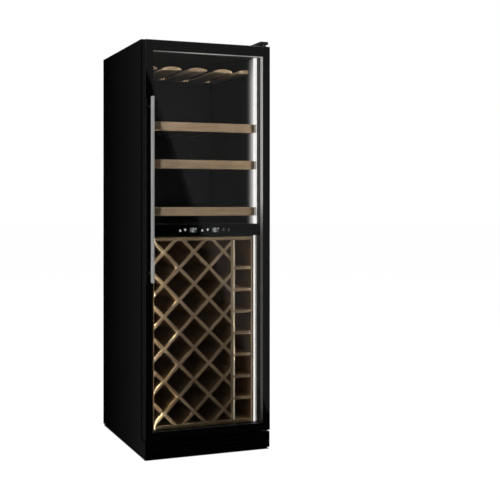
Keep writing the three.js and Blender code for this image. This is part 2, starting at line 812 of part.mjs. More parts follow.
function coolerFan() {
  const rotor = rotorGeometry(COOLER_FAN_RADIUS, FAN_HUB + 5, COOLER_FAN_WIDTH, 5);
  const mesh = piece("condenser_fan", rotor.rotateY(Math.PI / 2), DARK_PLASTIC);
  return at(mesh, PARTITION_X + PAN_SHEET + SEAT, MACHINE_MIDDLE, coolerFanHeight());
}

// ---------------------------------------------------------------- air ducts in the cavity

// A ring sector in X and Z, centred on the fan.
function sector(r0, r1, from, to, z) {
  const shape = new THREE.Shape();
  shape.absarc(0, z, r1, from, to, false);
  shape.absarc(0, z, r0, to, from, true);
  shape.closePath();
  return shape;
}

// A shallow tray over the back wall, with air slots and a fan grille whose middle carries the motor boss.
function ductCover(name, bottom, top) {
  const half = CAVITY_HALF - DUCT_SIDE_GAP;
  const back = CAVITY_BACK - SEAT;
  const inner = DUCT_FACE + DUCT_WALL;
  const outside = alongY(roundedRectangle(-half, bottom, half, top, 12), DUCT_FACE, back);
  const hollow = alongY(
    roundedRectangle(-half + DUCT_WALL, bottom + DUCT_WALL, half - DUCT_WALL, top - DUCT_WALL, 10),
    inner,
    back + 1,
  );
  const fan = fanHeight(bottom, top);
  const rings = [
    [FAN_HUB + 2, FAN_HUB + 14],
    [FAN_HUB + 17, FAN_RADIUS + FAN_TIP_GAP],
  ];
  const openings = rings.flatMap(([r0, r1]) =>
    [0, 1, 2, 3].map((n) => {
      const from = (n * Math.PI) / 2 + 0.12;
      const to = ((n + 1) * Math.PI) / 2 - 0.12;
      return alongY(sector(r0, r1, from, to, fan), DUCT_FACE - 1, inner + 1, { segments: 3 });
    }),
  );
  const slots = [];
  for (let n = 0; n < DUCT_SLOTS; n++)
    for (const z of [bottom + 30 + n * 14, top - 30 - n * 14]) {
      const slot = roundedRectangle(-half * 0.6, z - 3, half * 0.6, z + 3, 2.9);
      slots.push(alongY(slot, DUCT_FACE - 1, inner + 1));
    }
  const boss = pegY(0, DUCT_FACE + 1, inner + FAN_MOTOR, fan, FAN_HUB);
  return piece(name, join(cut(outside, hollow, ...openings, ...slots), boss), LINER_PLASTIC);
}

const fanHeight = (bottom, top) => (bottom + top) / 2;

function ductFan(name, z) {
  const rotor = rotorGeometry(FAN_RADIUS, FAN_HUB, FAN_WIDTH, FAN_BLADES).rotateX(-Math.PI / 2);
  return at(piece(name, rotor, DARK_PLASTIC), 0, DUCT_FACE + DUCT_WALL + FAN_MOTOR + SEAT, z);
}

// ---------------------------------------------------------------- divider, panel, lights

function zoneDivider() {
  const half = CAVITY_HALF - SEAT;
  const front = PANEL_FACE + PANEL_THICKNESS + SEAT;
  return piece(
    "zone_divider",
    block(-half, front, DIVIDER_BOTTOM, half, CAVITY_BACK - SEAT, DIVIDER_TOP),
    LINER_PLASTIC,
  );
}

function controlPanel() {
  const half = CAVITY_HALF - SEAT;
  const outline = roundedRectangle(-half, DIVIDER_BOTTOM, half, DIVIDER_TOP, PANEL_CORNER);
  return piece(
    "control_panel",
    alongY(outline, PANEL_FACE, PANEL_FACE + PANEL_THICKNESS, { ease: 1.5, segments: 3 }),
    GLOSS_PANEL,
  );
}

// A light strip on a side wall: a slim lens bar with two rounded edges.
function lightStrip(name, side, z0, z1) {
  const wall = CAVITY_HALF - SEAT;
  const front = CASE_FRONT + 1;
  const round = STRIP_THICKNESS * 0.6;
  const outline = new THREE.Shape();
  outline.moveTo(wall, front);
  outline.lineTo(wall, front + STRIP_DEPTH);
  outline.lineTo(STRIP_FACE + round, front + STRIP_DEPTH);
  outline.quadraticCurveTo(STRIP_FACE, front + STRIP_DEPTH, STRIP_FACE, front + STRIP_DEPTH - round);
  outline.lineTo(STRIP_FACE, front + round);
  outline.quadraticCurveTo(STRIP_FACE, front, STRIP_FACE + round, front);
  outline.closePath();
  const bar = alongZ(outline, z0 + SEAT, z1 - SEAT, { segments: 3 });
  if (side < 0) bar.rotateZ(Math.PI).translate(0, 2 * front + STRIP_DEPTH, 0);
  return piece(name, bar, LENS);
}

// ---------------------------------------------------------------- door

// A flat ring in X and Z.
function ring(half, bottom, top, innerHalf, innerBottom, innerTop, radius = 0) {
  const rectangle = (a, b, c, r) =>
    r > 0
      ? roundedRectangle(-a, b, a, c, r)
      : polygon([
          [-a, b],
          [a, b],
          [a, c],
          [-a, c],
        ]);
  return withHole(rectangle(half, bottom, top, radius), rectangle(innerHalf, innerBottom, innerTop, 0));
}

// The frame behind the glass: a deep ring with a lip that seats the inner pane, bored for both hinge pins.
function doorFrame() {
  const clearHalf = HALF - FRAME_SIDE;
  const clearBottom = DOOR_BOTTOM + FRAME_BOTTOM;
  const clearTop = DOOR_TOP - FRAME_TOP;
  const seat = alongY(
    ring(
      HALF,
      DOOR_BOTTOM,
      DOOR_TOP,
      clearHalf + REBATE,
      clearBottom - REBATE,
      clearTop + REBATE,
      2,
    ),
    FRAME_FRONT,
    LIP_FRONT,
  );
  const lip = alongY(
    ring(HALF, DOOR_BOTTOM, DOOR_TOP, clearHalf, clearBottom, clearTop, 2),
    LIP_FRONT,
    DOOR_THICKNESS,
  );
  const bore = PIN_RADIUS + PIN_CLEARANCE;
  const depth = PIN_LENGTH + 4;
  return piece(
    "door_frame",
    cut(
      join(seat, lip),
      post(HINGE_X, HINGE_DEPTH, DOOR_BOTTOM - 1, DOOR_BOTTOM + depth, bore, 20),
      post(HINGE_X, HINGE_DEPTH, DOOR_TOP - depth, DOOR_TOP + 1, bore, 20),
    ),
    BLACK_PAINT,
  );
}

function outerPane() {
  const outline = roundedRectangle(-HALF, DOOR_BOTTOM, HALF, DOOR_TOP, 2);
  return piece("outer_glass", alongY(outline, 0, PANE, { ease: 0.6 }), GLASS);
}

function innerPane() {
  const half = HALF - FRAME_SIDE + REBATE - SEAT;
  const bottom = DOOR_BOTTOM + FRAME_BOTTOM - REBATE + SEAT;
  const top = DOOR_TOP - FRAME_TOP + REBATE - SEAT;
  return piece(
    "inner_glass",
    block(-half, INNER_PANE_FRONT, bottom, half, INNER_PANE_FRONT + PANE, top),
    GLASS,
  );
}

// The bar that holds the two panes apart.
function glassSpacer() {
  const half = HALF - FRAME_SIDE + SPACER_INSET;
  const bottom = DOOR_BOTTOM + FRAME_BOTTOM - SPACER_INSET;
  const top = DOOR_TOP - FRAME_TOP + SPACER_INSET;
  const outline = ring(
    half + SPACER_WIDTH,
    bottom - SPACER_WIDTH,
    top + SPACER_WIDTH,
    half,
    bottom,
    top,
  );
  return piece("glass_spacer", alongY(outline, PANE + SEAT, INNER_PANE_FRONT - SEAT), BRUSHED);
}

// The magnetic seal on the back of the door: a hollow-looking bulb with a narrower foot.
function doorGasket() {
  const half = HALF - GASKET_INSET;
  const bottom = DOOR_BOTTOM + GASKET_FOOT;
  const top = DOOR_TOP - GASKET_INSET;
  const run = (inset, y0, y1) =>
    alongY(
      ring(
        half - inset,
        bottom + inset,
        top - inset,
        half - GASKET_WIDTH + inset,
        bottom + GASKET_WIDTH - inset,
        top - GASKET_WIDTH + inset,
      ),
      y0,
      y1,
    );
  const foot = DOOR_THICKNESS + SEAT;
  const waist = foot + GASKET_THICKNESS * 0.3;
  return piece("door_gasket", join(run(2, foot, waist + 1), run(0, waist, CASE_FRONT - SEAT)), RUBBER);
}

// The handle: a slim rectangular bar on two posts.
function handle() {
  const left = -HALF + HANDLE_EDGE;
  const middle = left + HANDLE_WIDTH / 2;
  const front = -HANDLE_PROJECTION;
  const outline = roundedRectangle(left, front, left + HANDLE_WIDTH, front + HANDLE_DEPTH, 1.5);
  const bar = alongZ(outline, HANDLE_BOTTOM, HANDLE_BOTTOM + HANDLE_LENGTH, { ease: 0.8 });
  const posts = [POST_INSET, HANDLE_LENGTH - POST_INSET].flatMap((rise) => [
    pegY(middle, front + HANDLE_DEPTH / 2, -SEAT, HANDLE_BOTTOM + rise, POST_RADIUS),
    pegY(middle, -SEAT - POST_FLANGE, -SEAT, HANDLE_BOTTOM + rise, POST_RADIUS + 3, 20),
  ]);
  return piece("handle", join(bar, ...posts), BRUSHED);
}

// ---------------------------------------------------------------- hinges

// The top bracket: a plate on the case with a pin that reaches down into the door.
function topHinge() {
  const right = HINGE_X + PIN_RADIUS;
  const base = CASE_TOP + SEAT;
  const plate = roundedRectangle(
    right - HINGE_WIDTH,
    HINGE_DEPTH - PIN_RADIUS - 5,
    right,
    HINGE_DEPTH - PIN_RADIUS - 5 + HINGE_LENGTH,
    4,
  );
  return piece(
    "top_hinge",
    join(
      alongZ(plate, base, base + HINGE_PLATE),
      post(HINGE_X, HINGE_DEPTH, DOOR_TOP - PIN_LENGTH, base + 1, PIN_RADIUS, 20),
    ),
    ZINC,
  );
}

// The moulded cap over the top bracket, open underneath.
function hingeCover() {
  const right = HALF - COVER_SIDE_GAP;
  const base = CASE_TOP + SEAT;
  const outline = roundedRectangle(
    right - COVER_WIDTH,
    COVER_FRONT,
    right,
    COVER_FRONT + COVER_LENGTH,
    6,
  );
  const hollow = block(
    right - COVER_WIDTH + COVER_WALL,
    COVER_FRONT + COVER_WALL,
    base - COVER_HEIGHT,
    right - COVER_WALL,
    COVER_FRONT + COVER_LENGTH - COVER_WALL,
    base + COVER_HEIGHT - COVER_WALL,
  );
  const cap = alongZ(outline, base - COVER_HEIGHT, base + COVER_HEIGHT, {
    ease: 1.5,
    segments: 2,
  });
  const under = block(
    right - COVER_WIDTH - 1,
    COVER_FRONT - 1,
    base - COVER_HEIGHT - 1,
    right + 1,
    COVER_FRONT + COVER_LENGTH + 1,
    base,
  );
  return piece("hinge_cover", cut(cap, under, hollow), DARK_PLASTIC);
}

// The bottom bracket: an angle on the front of the case, with a pin and a washer that carry the door.
function bottomHinge() {
  const right = HINGE_X + PIN_RADIUS + 2;
  const left = right - HINGE_WIDTH;
  const back = CASE_FRONT - SEAT;
  const top = DOOR_BOTTOM - 1.7;
  const washer = DOOR_BOTTOM - SEAT;
  const arm = roundedRectangle(left, HINGE_DEPTH - 12, right, back, 3);
  return piece(
    "bottom_hinge",
    join(
      alongZ(arm, top - HINGE_PLATE, top),
      block(left, back - HINGE_PLATE, top - HINGE_DROP, right, back, top),
      post(HINGE_X, HINGE_DEPTH, top - 1, washer, PIN_RADIUS + 3, 20),
      post(HINGE_X, HINGE_DEPTH, top - 1, DOOR_BOTTOM + PIN_LENGTH, PIN_RADIUS, 20),
    ),
    ZINC,
  );
}

// ---------------------------------------------------------------- sliding shelves

// The wooden front of a shelf. Its bottom is at zero.
function shelfFront(name) {
  const outline = roundedRectangle(PANEL_FACE, 0, SHELF_BACK_OF_FRONT, SHELF_FRONT_HEIGHT, 3);
  return piece(name, alongX(outline, -SHELF_HALF, SHELF_HALF, { segments: 2 }), BEECH);
}

// A cross wire bent into one cradle for each bottle. Its ends are at the crests.
class CradleCurve extends THREE.Curve {
  constructor(half, y, z) {
    super();
    Object.assign(this, { half, y, z });
  }

  getPoint(t, target = new THREE.Vector3()) {
    const sag = (CRADLE_DROP / 2) * (1 - Math.cos(t * BOTTLES_ACROSS * 2 * Math.PI));
    return target.set(-this.half + 2 * this.half * t, this.y, this.z - sag);
  }

  // Even steps across the shelf, so that every cradle gets the same points.
  getPointAt(u, target) {
    return this.getPoint(u, target);
  }

  getTangentAt(u, target = new THREE.Vector3()) {
    const swing = CRADLE_DROP * BOTTLES_ACROSS * Math.PI * Math.sin(u * BOTTLES_ACROSS * 2 * Math.PI);
    return target.set(2 * this.half, 0, -swing).normalize();
  }
}

// The wire rack behind a shelf front: a frame, crest wires from front to back and cradle wires across.
function shelfRack(name) {
  const half = SHELF_HALF - 1.5;
  const front = SHELF_BACK_OF_FRONT + SEAT;
  const z0 = WIRE_RAIL_RISE;
  const z1 = z0 + WIRE_RAIL_HEIGHT;
  const frame = alongZ(
    withHole(
      roundedRectangle(-half, front, half, SHELF_BACK, 10),
      roundedRectangle(
        -half + WIRE_RAIL,
        front + WIRE_RAIL,
        half - WIRE_RAIL,
        SHELF_BACK - WIRE_RAIL,
        4,
      ),
    ),
    z0,
    z1,
    { ease: 1.4 },
  );
  const middle = (z0 + z1) / 2;
  const run = half - WIRE_RAIL / 2;
  const crests = [];
  for (let n = 1; n < BOTTLES_ACROSS; n++) {
    const x = -run + (n * 2 * run) / BOTTLES_ACROSS;
    crests.push(pegY(x, front + 2, SHELF_BACK - 2, middle + 1.5, WIRE_RADIUS, 6));
  }
  const cradles = [];
  for (let n = 1; n <= CRADLE_WIRES; n++) {
    const y = front + (n * (SHELF_BACK - front)) / (CRADLE_WIRES + 1);
    const curve = new CradleCurve(run, y, middle);
    cradles.push(wire(curve, WIRE_RADIUS, BOTTLES_ACROSS * CRADLE_STEPS));
  }
  return piece(name, join(frame, ...crests, ...cradles), WIRE);
}

// ---------------------------------------------------------------- stemware rack

// The section of a hanging rail: flat below, arched above. The arch's middle is at centre.
function railSection(x0, x1, centre) {
  const rise = STEM_RAIL_CROWN - STEM_RAIL_EDGE;
  const halfWidth = STEM_RAIL_WIDTH / 2;
  const radius = (halfWidth ** 2 + rise ** 2) / (2 * rise);
  const crownAt = (x) => {
    const reach = Math.min(Math.abs(x - centre), halfWidth);
    return STEM_BOTTOM + STEM_RAIL_CROWN - radius + Math.sqrt(radius ** 2 - reach ** 2);
  };
  const points = [
    [x0, STEM_BOTTOM],
    [x1, STEM_BOTTOM],
  ];
  for (let n = 0; n <= STEM_ARCH_STEPS; n++) {
    const x = x1 + ((x0 - x1) * n) / STEM_ARCH_STEPS;
    points.push([x, crownAt(x)]);
  }
  return polygon(points);
}

// The stemware rack: arched rails run forward from a back board, and the half rails at the sides rest on
// the liner's ledges. Stems hang in the slots between the rails.
function stemwareRack() {
  const outer = CAVITY_HALF - STEM_SIDE_GAP;
  const inner = outer - STEM_SIDE_REACH;
  const half = STEM_RAIL_WIDTH / 2;
  const back = STEM_FACE + STEM_RAIL_LENGTH;
  const sections = [-STEM_RAIL_PITCH, 0, STEM_RAIL_PITCH].map((centre) =>
    railSection(centre - half, centre + half, centre),
  );
  sections.push(railSection(inner, outer, inner + half));
  sections.push(railSection(-outer, -inner, -inner - half));
  const rails = sections.map((section) => alongY(section, STEM_FACE, back + 2 * EASE, { ease: EASE }));
  const board = block(
    -outer,
    back,
    STEM_BOTTOM,
    outer,
    back + STEM_BOARD,
    STEM_BOTTOM + STEM_BOARD_HEIGHT,
  );
  return piece("stemware_rack", join(...rails, board), BEECH);
}

// ---------------------------------------------------------------- bottle rack

// A board's plan with its right front corner cut off.
const cutCornerPlan = (x0, x1, front, back, chamfer) =>
  polygon([
    [x0, front],
    [x1 - chamfer, front],
    [x1, front + chamfer],
    [x1, back],
    [x0, back],
  ]);

function rackBoard(name, z0, z1) {
  const plan = cutCornerPlan(BAY_LEFT + SEAT, BAY_RIGHT - SEAT, RACK_FACE, RACK_BACK, LIT_CHAMFER);
  return piece(name, alongZ(plan, z0, z1, { ease: EASE }), BEECH);
}

function rackSide(name, x0, setback) {
  const profile = polygon([
    [RACK_FACE + setback, RACK_BOTTOM],
    [RACK_BACK, RACK_BOTTOM],
    [RACK_BACK, RACK_TOP],
    [RACK_FACE + setback, RACK_TOP],
  ]);
  return piece(name, alongX(profile, x0, x0 + SIDE_BOARD, { ease: EASE }), BEECH);
}

// The upright beside the lattice with the shelves of the bottle column housed in it.
function bottleColumn() {
  const z0 = BAY_BOTTOM + SEAT;
  const z1 = BAY_TOP - SEAT;
  const upright = alongZ(
    cutCornerPlan(UPRIGHT_LEFT, UPRIGHT_RIGHT, RACK_FACE, RACK_BACK, LIT_CHAMFER),
    z0,
    z1,
  );
  const highest = BAY_TOP - COLUMN_TOP_BAY - COLUMN_BOARD;
  const lowest = BAY_BOTTOM + COLUMN_BOTTOM_BAY;
  const pitch = (highest - lowest) / (COLUMN_BOARDS - 1);
  const shelves = [];
  for (let n = 0; n < COLUMN_BOARDS; n++) {
    const z = lowest + n * pitch;
    const plan = cutCornerPlan(
      UPRIGHT_RIGHT - LIT_CHAMFER,
      BAY_RIGHT - SEAT,
      RACK_FACE,
      RACK_BACK - 1,
      LIT_CHAMFER,
    );
    shelves.push(alongZ(plan, z, z + COLUMN_BOARD));
  }
  return piece("bottle_column", join(upright, ...shelves), BEECH);
}

// The part of a convex polygon where a*x + b*z is at most limit.
function clip(points, a, b, limit) {
  const side = ([x, z]) => a * x + b * z - limit;
  return points.flatMap((point, n) => {
    const next = points[(n + 1) % points.length];
    const [here, there] = [side(point), side(next)];
    const kept = here <= 0 ? [point] : [];
    if (here * there < 0) {
      const t = here / (here - there);
      kept.push([point[0] + t * (next[0] - point[0]), point[1] + t * (next[1] - point[1])]);
    }
    return kept;
  });
}

// One diagonal strip of the lattice bay. slope is 1 for a rising board and -1 for a falling one;
// offset is the board's centre line, z - slope * x.
function diagonal(slope, offset, thickness, margin) {
  const bay = [
    [UPRIGHT_LEFT - margin, BAY_BOTTOM + margin],
    [UPRIGHT_LEFT - margin, BAY_TOP - margin],
    [BAY_LEFT + margin, BAY_TOP - margin],
    [BAY_LEFT + margin, BAY_BOTTOM + margin],
  ];
  const reach = (thickness / 2) * Math.SQRT2;
  const strip = clip(clip(bay, -slope, 1, offset + reach), slope, -1, reach - offset);
  return strip.filter(([x, z], n) => {
    const [nextX, nextZ] = strip[(n + 1) % strip.length];
    return Math.hypot(nextX - x, nextZ - z) > SHORTEST_EDGE;
  });
}

// The centre lines of the boards of one slope: every second diagonal of the crossings' grid.
function latticeOffsets(slope) {
  const pitch = (BAY_TOP - BAY_BOTTOM - 2 * LATTICE_END) / (LATTICE_ROWS - 1);
  const middle = (BAY_LEFT + UPRIGHT_LEFT) / 2 + LATTICE_SHIFT;
  const firstX = middle - ((LATTICE_COLUMNS - 1) / 2) * pitch;
  const firstZ = BAY_TOP - LATTICE_END;
  const boards = (LATTICE_COLUMNS + LATTICE_ROWS) / 2;
  const offsets = [];
  for (let n = 0; n < boards; n++) {
    const columns = slope > 0 ? 0 : LATTICE_COLUMNS - 1;
    const x = firstX + columns * pitch;
    offsets.push(firstZ - 2 * n * pitch - slope * x);
  }
  return offsets;
}

// Boards of both slopes cross through each other: rising boards are slotted from the back and falling
// boards from the front, each to half of the depth.
function latticeBoards() {
  const half = (LATTICE_FRONT + RACK_BACK) / 2;
  const strips = (slope, y0, y1, thickness, margin, ease) =>
    latticeOffsets(slope)
      .map((offset) => diagonal(slope, offset, thickness, margin))
      .filter((outline) => outline.length > 2)
      .map((outline) => alongY(polygon(outline), y0, y1, { ease }));
  const slot = LATTICE_BOARD + 2 * LAP_CLEARANCE;
  const makeSet = (name, slope, y0, y1) => {
    const slots = strips(-slope, y0, y1, slot, -1, 0);
    return strips(slope, LATTICE_FRONT, RACK_BACK, LATTICE_BOARD, SEAT, EASE).map((board, n) =>
      piece(`${name}_${n + 1}`, cut(board, ...slots), BEECH),
    );
  };
  return [
    ...makeSet("lattice_rising", 1, half - LAP_CLEARANCE / 2, RACK_BACK + 1),
    ...makeSet("lattice_falling", -1, LATTICE_FRONT - 1, half + LAP_CLEARANCE / 2),
  ];
}

// ---------------------------------------------------------------- assembly

function cabinetGroup() {
  const group = new THREE.Group();
  const lowerDuct = [STEP_TOP + DUCT_END_GAP, DIVIDER_BOTTOM - DUCT_END_GAP];
  const upperDuct = [DIVIDER_TOP + DUCT_END_GAP, CEILING - DUCT_END_GAP];
  group.add(
    outerCase(),
    rearPanel(),
    insulation(),
    innerLiner(),
    basePan(),
    kickPlate(),
    levellingFoot("front_foot_left", -1),
    levellingFoot("front_foot_right", 1),
    compressor(),
    dripTray(),
    mainsInlet(),
    condenser(),
    coolerFan(),
    ductCover("lower_duct_cover", ...lowerDuct),
    ductCover("upper_duct_cover", ...upperDuct),
    ductFan("lower_fan", fanHeight(...lowerDuct)),
    ductFan("upper_fan", fanHeight(...upperDuct)),
    zoneDivider(),
    controlPanel(),
    lightStrip("upper_left_light", -1, DIVIDER_TOP, CEILING),
    lightStrip("upper_right_light", 1, DIVIDER_TOP, CEILING),
    lightStrip("lower_left_light", -1, FLOOR_TOP, DIVIDER_BOTTOM),
    lightStrip("lower_right_light", 1, FLOOR_TOP, DIVIDER_BOTTOM),
    topHinge(),
    hingeCover(),
    bottomHinge(),
  );
  return group;
}

// The door hangs from its hinge axis.
function doorGroup() {
  const leaf = new THREE.Group();
  leaf.add(doorFrame(), outerPane(), glassSpacer(), innerPane(), doorGasket(), handle());
  const door = new THREE.Group();
  door.add(at(leaf, -HINGE_X, -HINGE_DEPTH, 0));
  return at(door, HINGE_X, HINGE_DEPTH, 0);
}

function shelfGroup(number, rise) {
  const group = new THREE.Group();
  group.add(shelfFront(`shelf_front_${number}`), shelfRack(`shelf_rack_${number}`));
  return at(group, 0, 0, DIVIDER_BOTTOM + rise);
}

function bottleRackGroup() {
  const group = new THREE.Group();
  group.add(
    rackBoard("rack_top_board", BAY_TOP, RACK_TOP),
    rackBoard("rack_bottom_board", RACK_BOTTOM, BAY_BOTTOM),
    rackSide("rack_left_board", RACK_LEFT, LEFT_SETBACK),
    rackSide("rack_right_board", BAY_RIGHT, RIGHT_SETBACK),
    bottleColumn(),
    ...latticeBoards(),
  );
  return group;
}

const cooler = new THREE.Group();
cooler.name = "wine_cooler";
const unit = at(new THREE.Group(), 0, ORIGIN_Y, 0);
unit.add(
  cabinetGroup(),
  doorGroup(),
  ...SHELF_RISES.map((rise, n) => shelfGroup(n + 1, rise)),
  stemwareRack(),
  bottleRackGroup(),
);
cooler.add(unit);

export default cooler;
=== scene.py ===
"""Looks of a tall free-standing wine cooler with a glass door and wooden racks.

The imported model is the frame: its nodes keep their places and get their finishes here, and finer pieces
stand for the nodes whose surface needs more than flat facets. A piece's lengths are millimetres, with X
from the middle, Y from the face of the closed door and Z from the floor, until its mesh is finished. The
studio's lengths are metres, in the frame's own place.
"""

from __future__ import annotations

import json
import logging
import math
from dataclasses import dataclass, field
from enum import Enum
from typing import Callable, Sequence

import bmesh
import bpy
from bmesh.types import BMEdge, BMesh, BMVert
from bpy.types import ID, Material, Mesh, Node, NodeSocket, NodeTree, Object
from mathutils import Euler, Matrix, Vector

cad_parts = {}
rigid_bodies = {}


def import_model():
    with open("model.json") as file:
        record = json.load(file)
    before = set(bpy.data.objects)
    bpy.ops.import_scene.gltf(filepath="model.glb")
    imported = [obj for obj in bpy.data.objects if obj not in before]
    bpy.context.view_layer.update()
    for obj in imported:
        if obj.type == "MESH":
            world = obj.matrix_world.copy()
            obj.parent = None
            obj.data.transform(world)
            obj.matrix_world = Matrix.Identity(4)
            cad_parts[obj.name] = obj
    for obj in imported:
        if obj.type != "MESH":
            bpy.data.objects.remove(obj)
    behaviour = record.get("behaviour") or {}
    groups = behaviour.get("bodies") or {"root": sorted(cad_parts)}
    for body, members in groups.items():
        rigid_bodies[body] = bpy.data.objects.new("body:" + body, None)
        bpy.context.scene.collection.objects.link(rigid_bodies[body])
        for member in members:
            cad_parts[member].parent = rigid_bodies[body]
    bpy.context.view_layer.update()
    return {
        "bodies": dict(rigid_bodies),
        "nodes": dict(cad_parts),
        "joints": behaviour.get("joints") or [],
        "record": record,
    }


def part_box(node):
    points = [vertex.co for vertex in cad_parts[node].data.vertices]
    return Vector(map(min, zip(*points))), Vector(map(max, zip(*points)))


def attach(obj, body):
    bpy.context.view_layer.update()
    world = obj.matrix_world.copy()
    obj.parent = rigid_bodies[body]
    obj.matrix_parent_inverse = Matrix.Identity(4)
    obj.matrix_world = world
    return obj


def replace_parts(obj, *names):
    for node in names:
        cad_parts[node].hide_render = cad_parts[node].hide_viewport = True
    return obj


LOG = logging.getLogger("wine_cooler")

MM = 0.001
DOOR_FACE = -313.5  # the face of the closed door on the frame's Y axis, in mm
SMOOTH_ANGLE = math.radians(34)  # edges sharper than this stay sharp
NOISE_SPAN = {"From Min": 0.3, "From Max": 0.7}  # where most of a noise's values lie
STRIP_WHITE = "#fdfbf8"  # the light of the strips
WHITE = (1.0, 1.0, 1.0, 1.0)

Nodes = dict[str, Object]
Point = tuple[float, float, float]
Colour = tuple[float, float, float, float]
Span = tuple[float, float]
Stops = tuple[Span, ...]
Outline = Sequence[Span]
NodeValue = object  # a plain value, a socket, or a node that stands for its first output in use


# ---- small tools


def linear(code: str, share: float = 1.0) -> Colour:
    """Turn an sRGB hex colour into linear light.

    Args:
        code: the colour as "#rrggbb".
        share: how much of its light is kept.

    Returns:
        Red, green, blue and an alpha of one.
    """
    values = [int(code[n : n + 2], 16) / 255 for n in (1, 3, 5)]
    light = [v / 12.92 if v <= 0.04045 else ((v + 0.055) / 1.055) ** 2.4 for v in values]
    return (light[0] * share, light[1] * share, light[2] * share, 1.0)


def feed(node: Node, inputs: dict[str | int, NodeValue]) -> None:
    """Set a node's inputs.

    Args:
        node: the node.
        inputs: values, sockets or other nodes, by the name or number of the input.
    """
    for key, value in inputs.items():
        if isinstance(value, Node):
            value = next(socket for socket in value.outputs if socket.enabled)
        if isinstance(value, NodeSocket):
            node.id_data.links.new(value, node.inputs[key])
        else:
            node.inputs[key].default_value = value


def add(
    tree: NodeTree,
    kind: str,
    inputs: dict[str | int, NodeValue] | None = None,
    **settings: object,
) -> Node:
    """Add a node with its settings, values and links.

    Args:
        tree: the node tree to add to.
        kind: the node's type name.
        inputs: values, sockets or other nodes, by the name or number of the input.
        settings: the node's own properties.

    Returns:
        The new node.
    """
    node = tree.nodes.new(kind)
    for name, value in settings.items():
        setattr(node, name, value)
    feed(node, inputs or {})
    return node


def ramp(tree: NodeTree, measure: NodeValue, stops: Stops) -> NodeValue:
    """Turn a measure into a level by straight stretches between stops.

    Args:
        tree: the node tree to add to.
        measure: the measure.
        stops: pairs of measure and level, in rising order.

    Returns:
        The level.
    """
    level: NodeValue = stops[0][1]
    for (before, low), (after, high) in zip(stops, stops[1:]):
        stretch = {"Value": measure, "From Min": before, "From Max": after, "To Max": high - low}
        step = add(tree, "ShaderNodeMapRange", stretch)
        level = add(tree, "ShaderNodeMath", {0: level, 1: step}, operation="ADD")
    return level


def box_of(node: str) -> tuple[Vector, Vector]:
    """The lowest and highest corner of a frame's node, in mm from the door's face."""
    low, high = (corner / MM - Vector((0, DOOR_FACE, 0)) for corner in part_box(node))
    return low, high


def put(name: str, data: ID) -> Object:
    """Make an object of a mesh, a light or a camera and link it to the scene.

    Args:
        name: its name.
        data: the mesh, light or camera.

    Returns:
        The object.
    """
    made = bpy.data.objects.new(name, data)
    bpy.context.scene.collection.objects.link(made)
    return made


def smooth(data: Mesh) -> None:
    """Shade a mesh smooth and keep its sharp edges sharp."""
    data.shade_smooth()
    data.set_sharp_from_angle(angle=SMOOTH_ANGLE)


def seat(piece: Object, body: str) -> Object:
    """Let a finished piece ride on a body.

    Args:
        piece: the finished object.
        body: the body it moves with.

    Returns:
        The same object.
    """
    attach(piece, body)
    LOG.info("%s rides on %s", piece.name, body)
    return piece


def dress(nodes: Nodes, names: Sequence[str], finish: "Finish") -> None:
    """Give carried-over nodes a finish.

    Args:
        nodes: the frame's nodes by name.
        names: the nodes to dress.
        finish: their finish.
    """
    for name in names:
        node = nodes[name]
        if not node.material_slots:
            node.data.materials.append(finish.material())
        for slot in node.material_slots:
            slot.material = finish.material()
        LOG.info("%s is dressed in %s", name, finish.name)


class Axis(Enum):
    """The axis that a shape is extruded along or turned round, with the rotation from Z to it."""

    Y = Matrix.Rotation(-math.pi / 2, 4, "X").freeze()
    Z = Matrix.Identity(4).freeze()


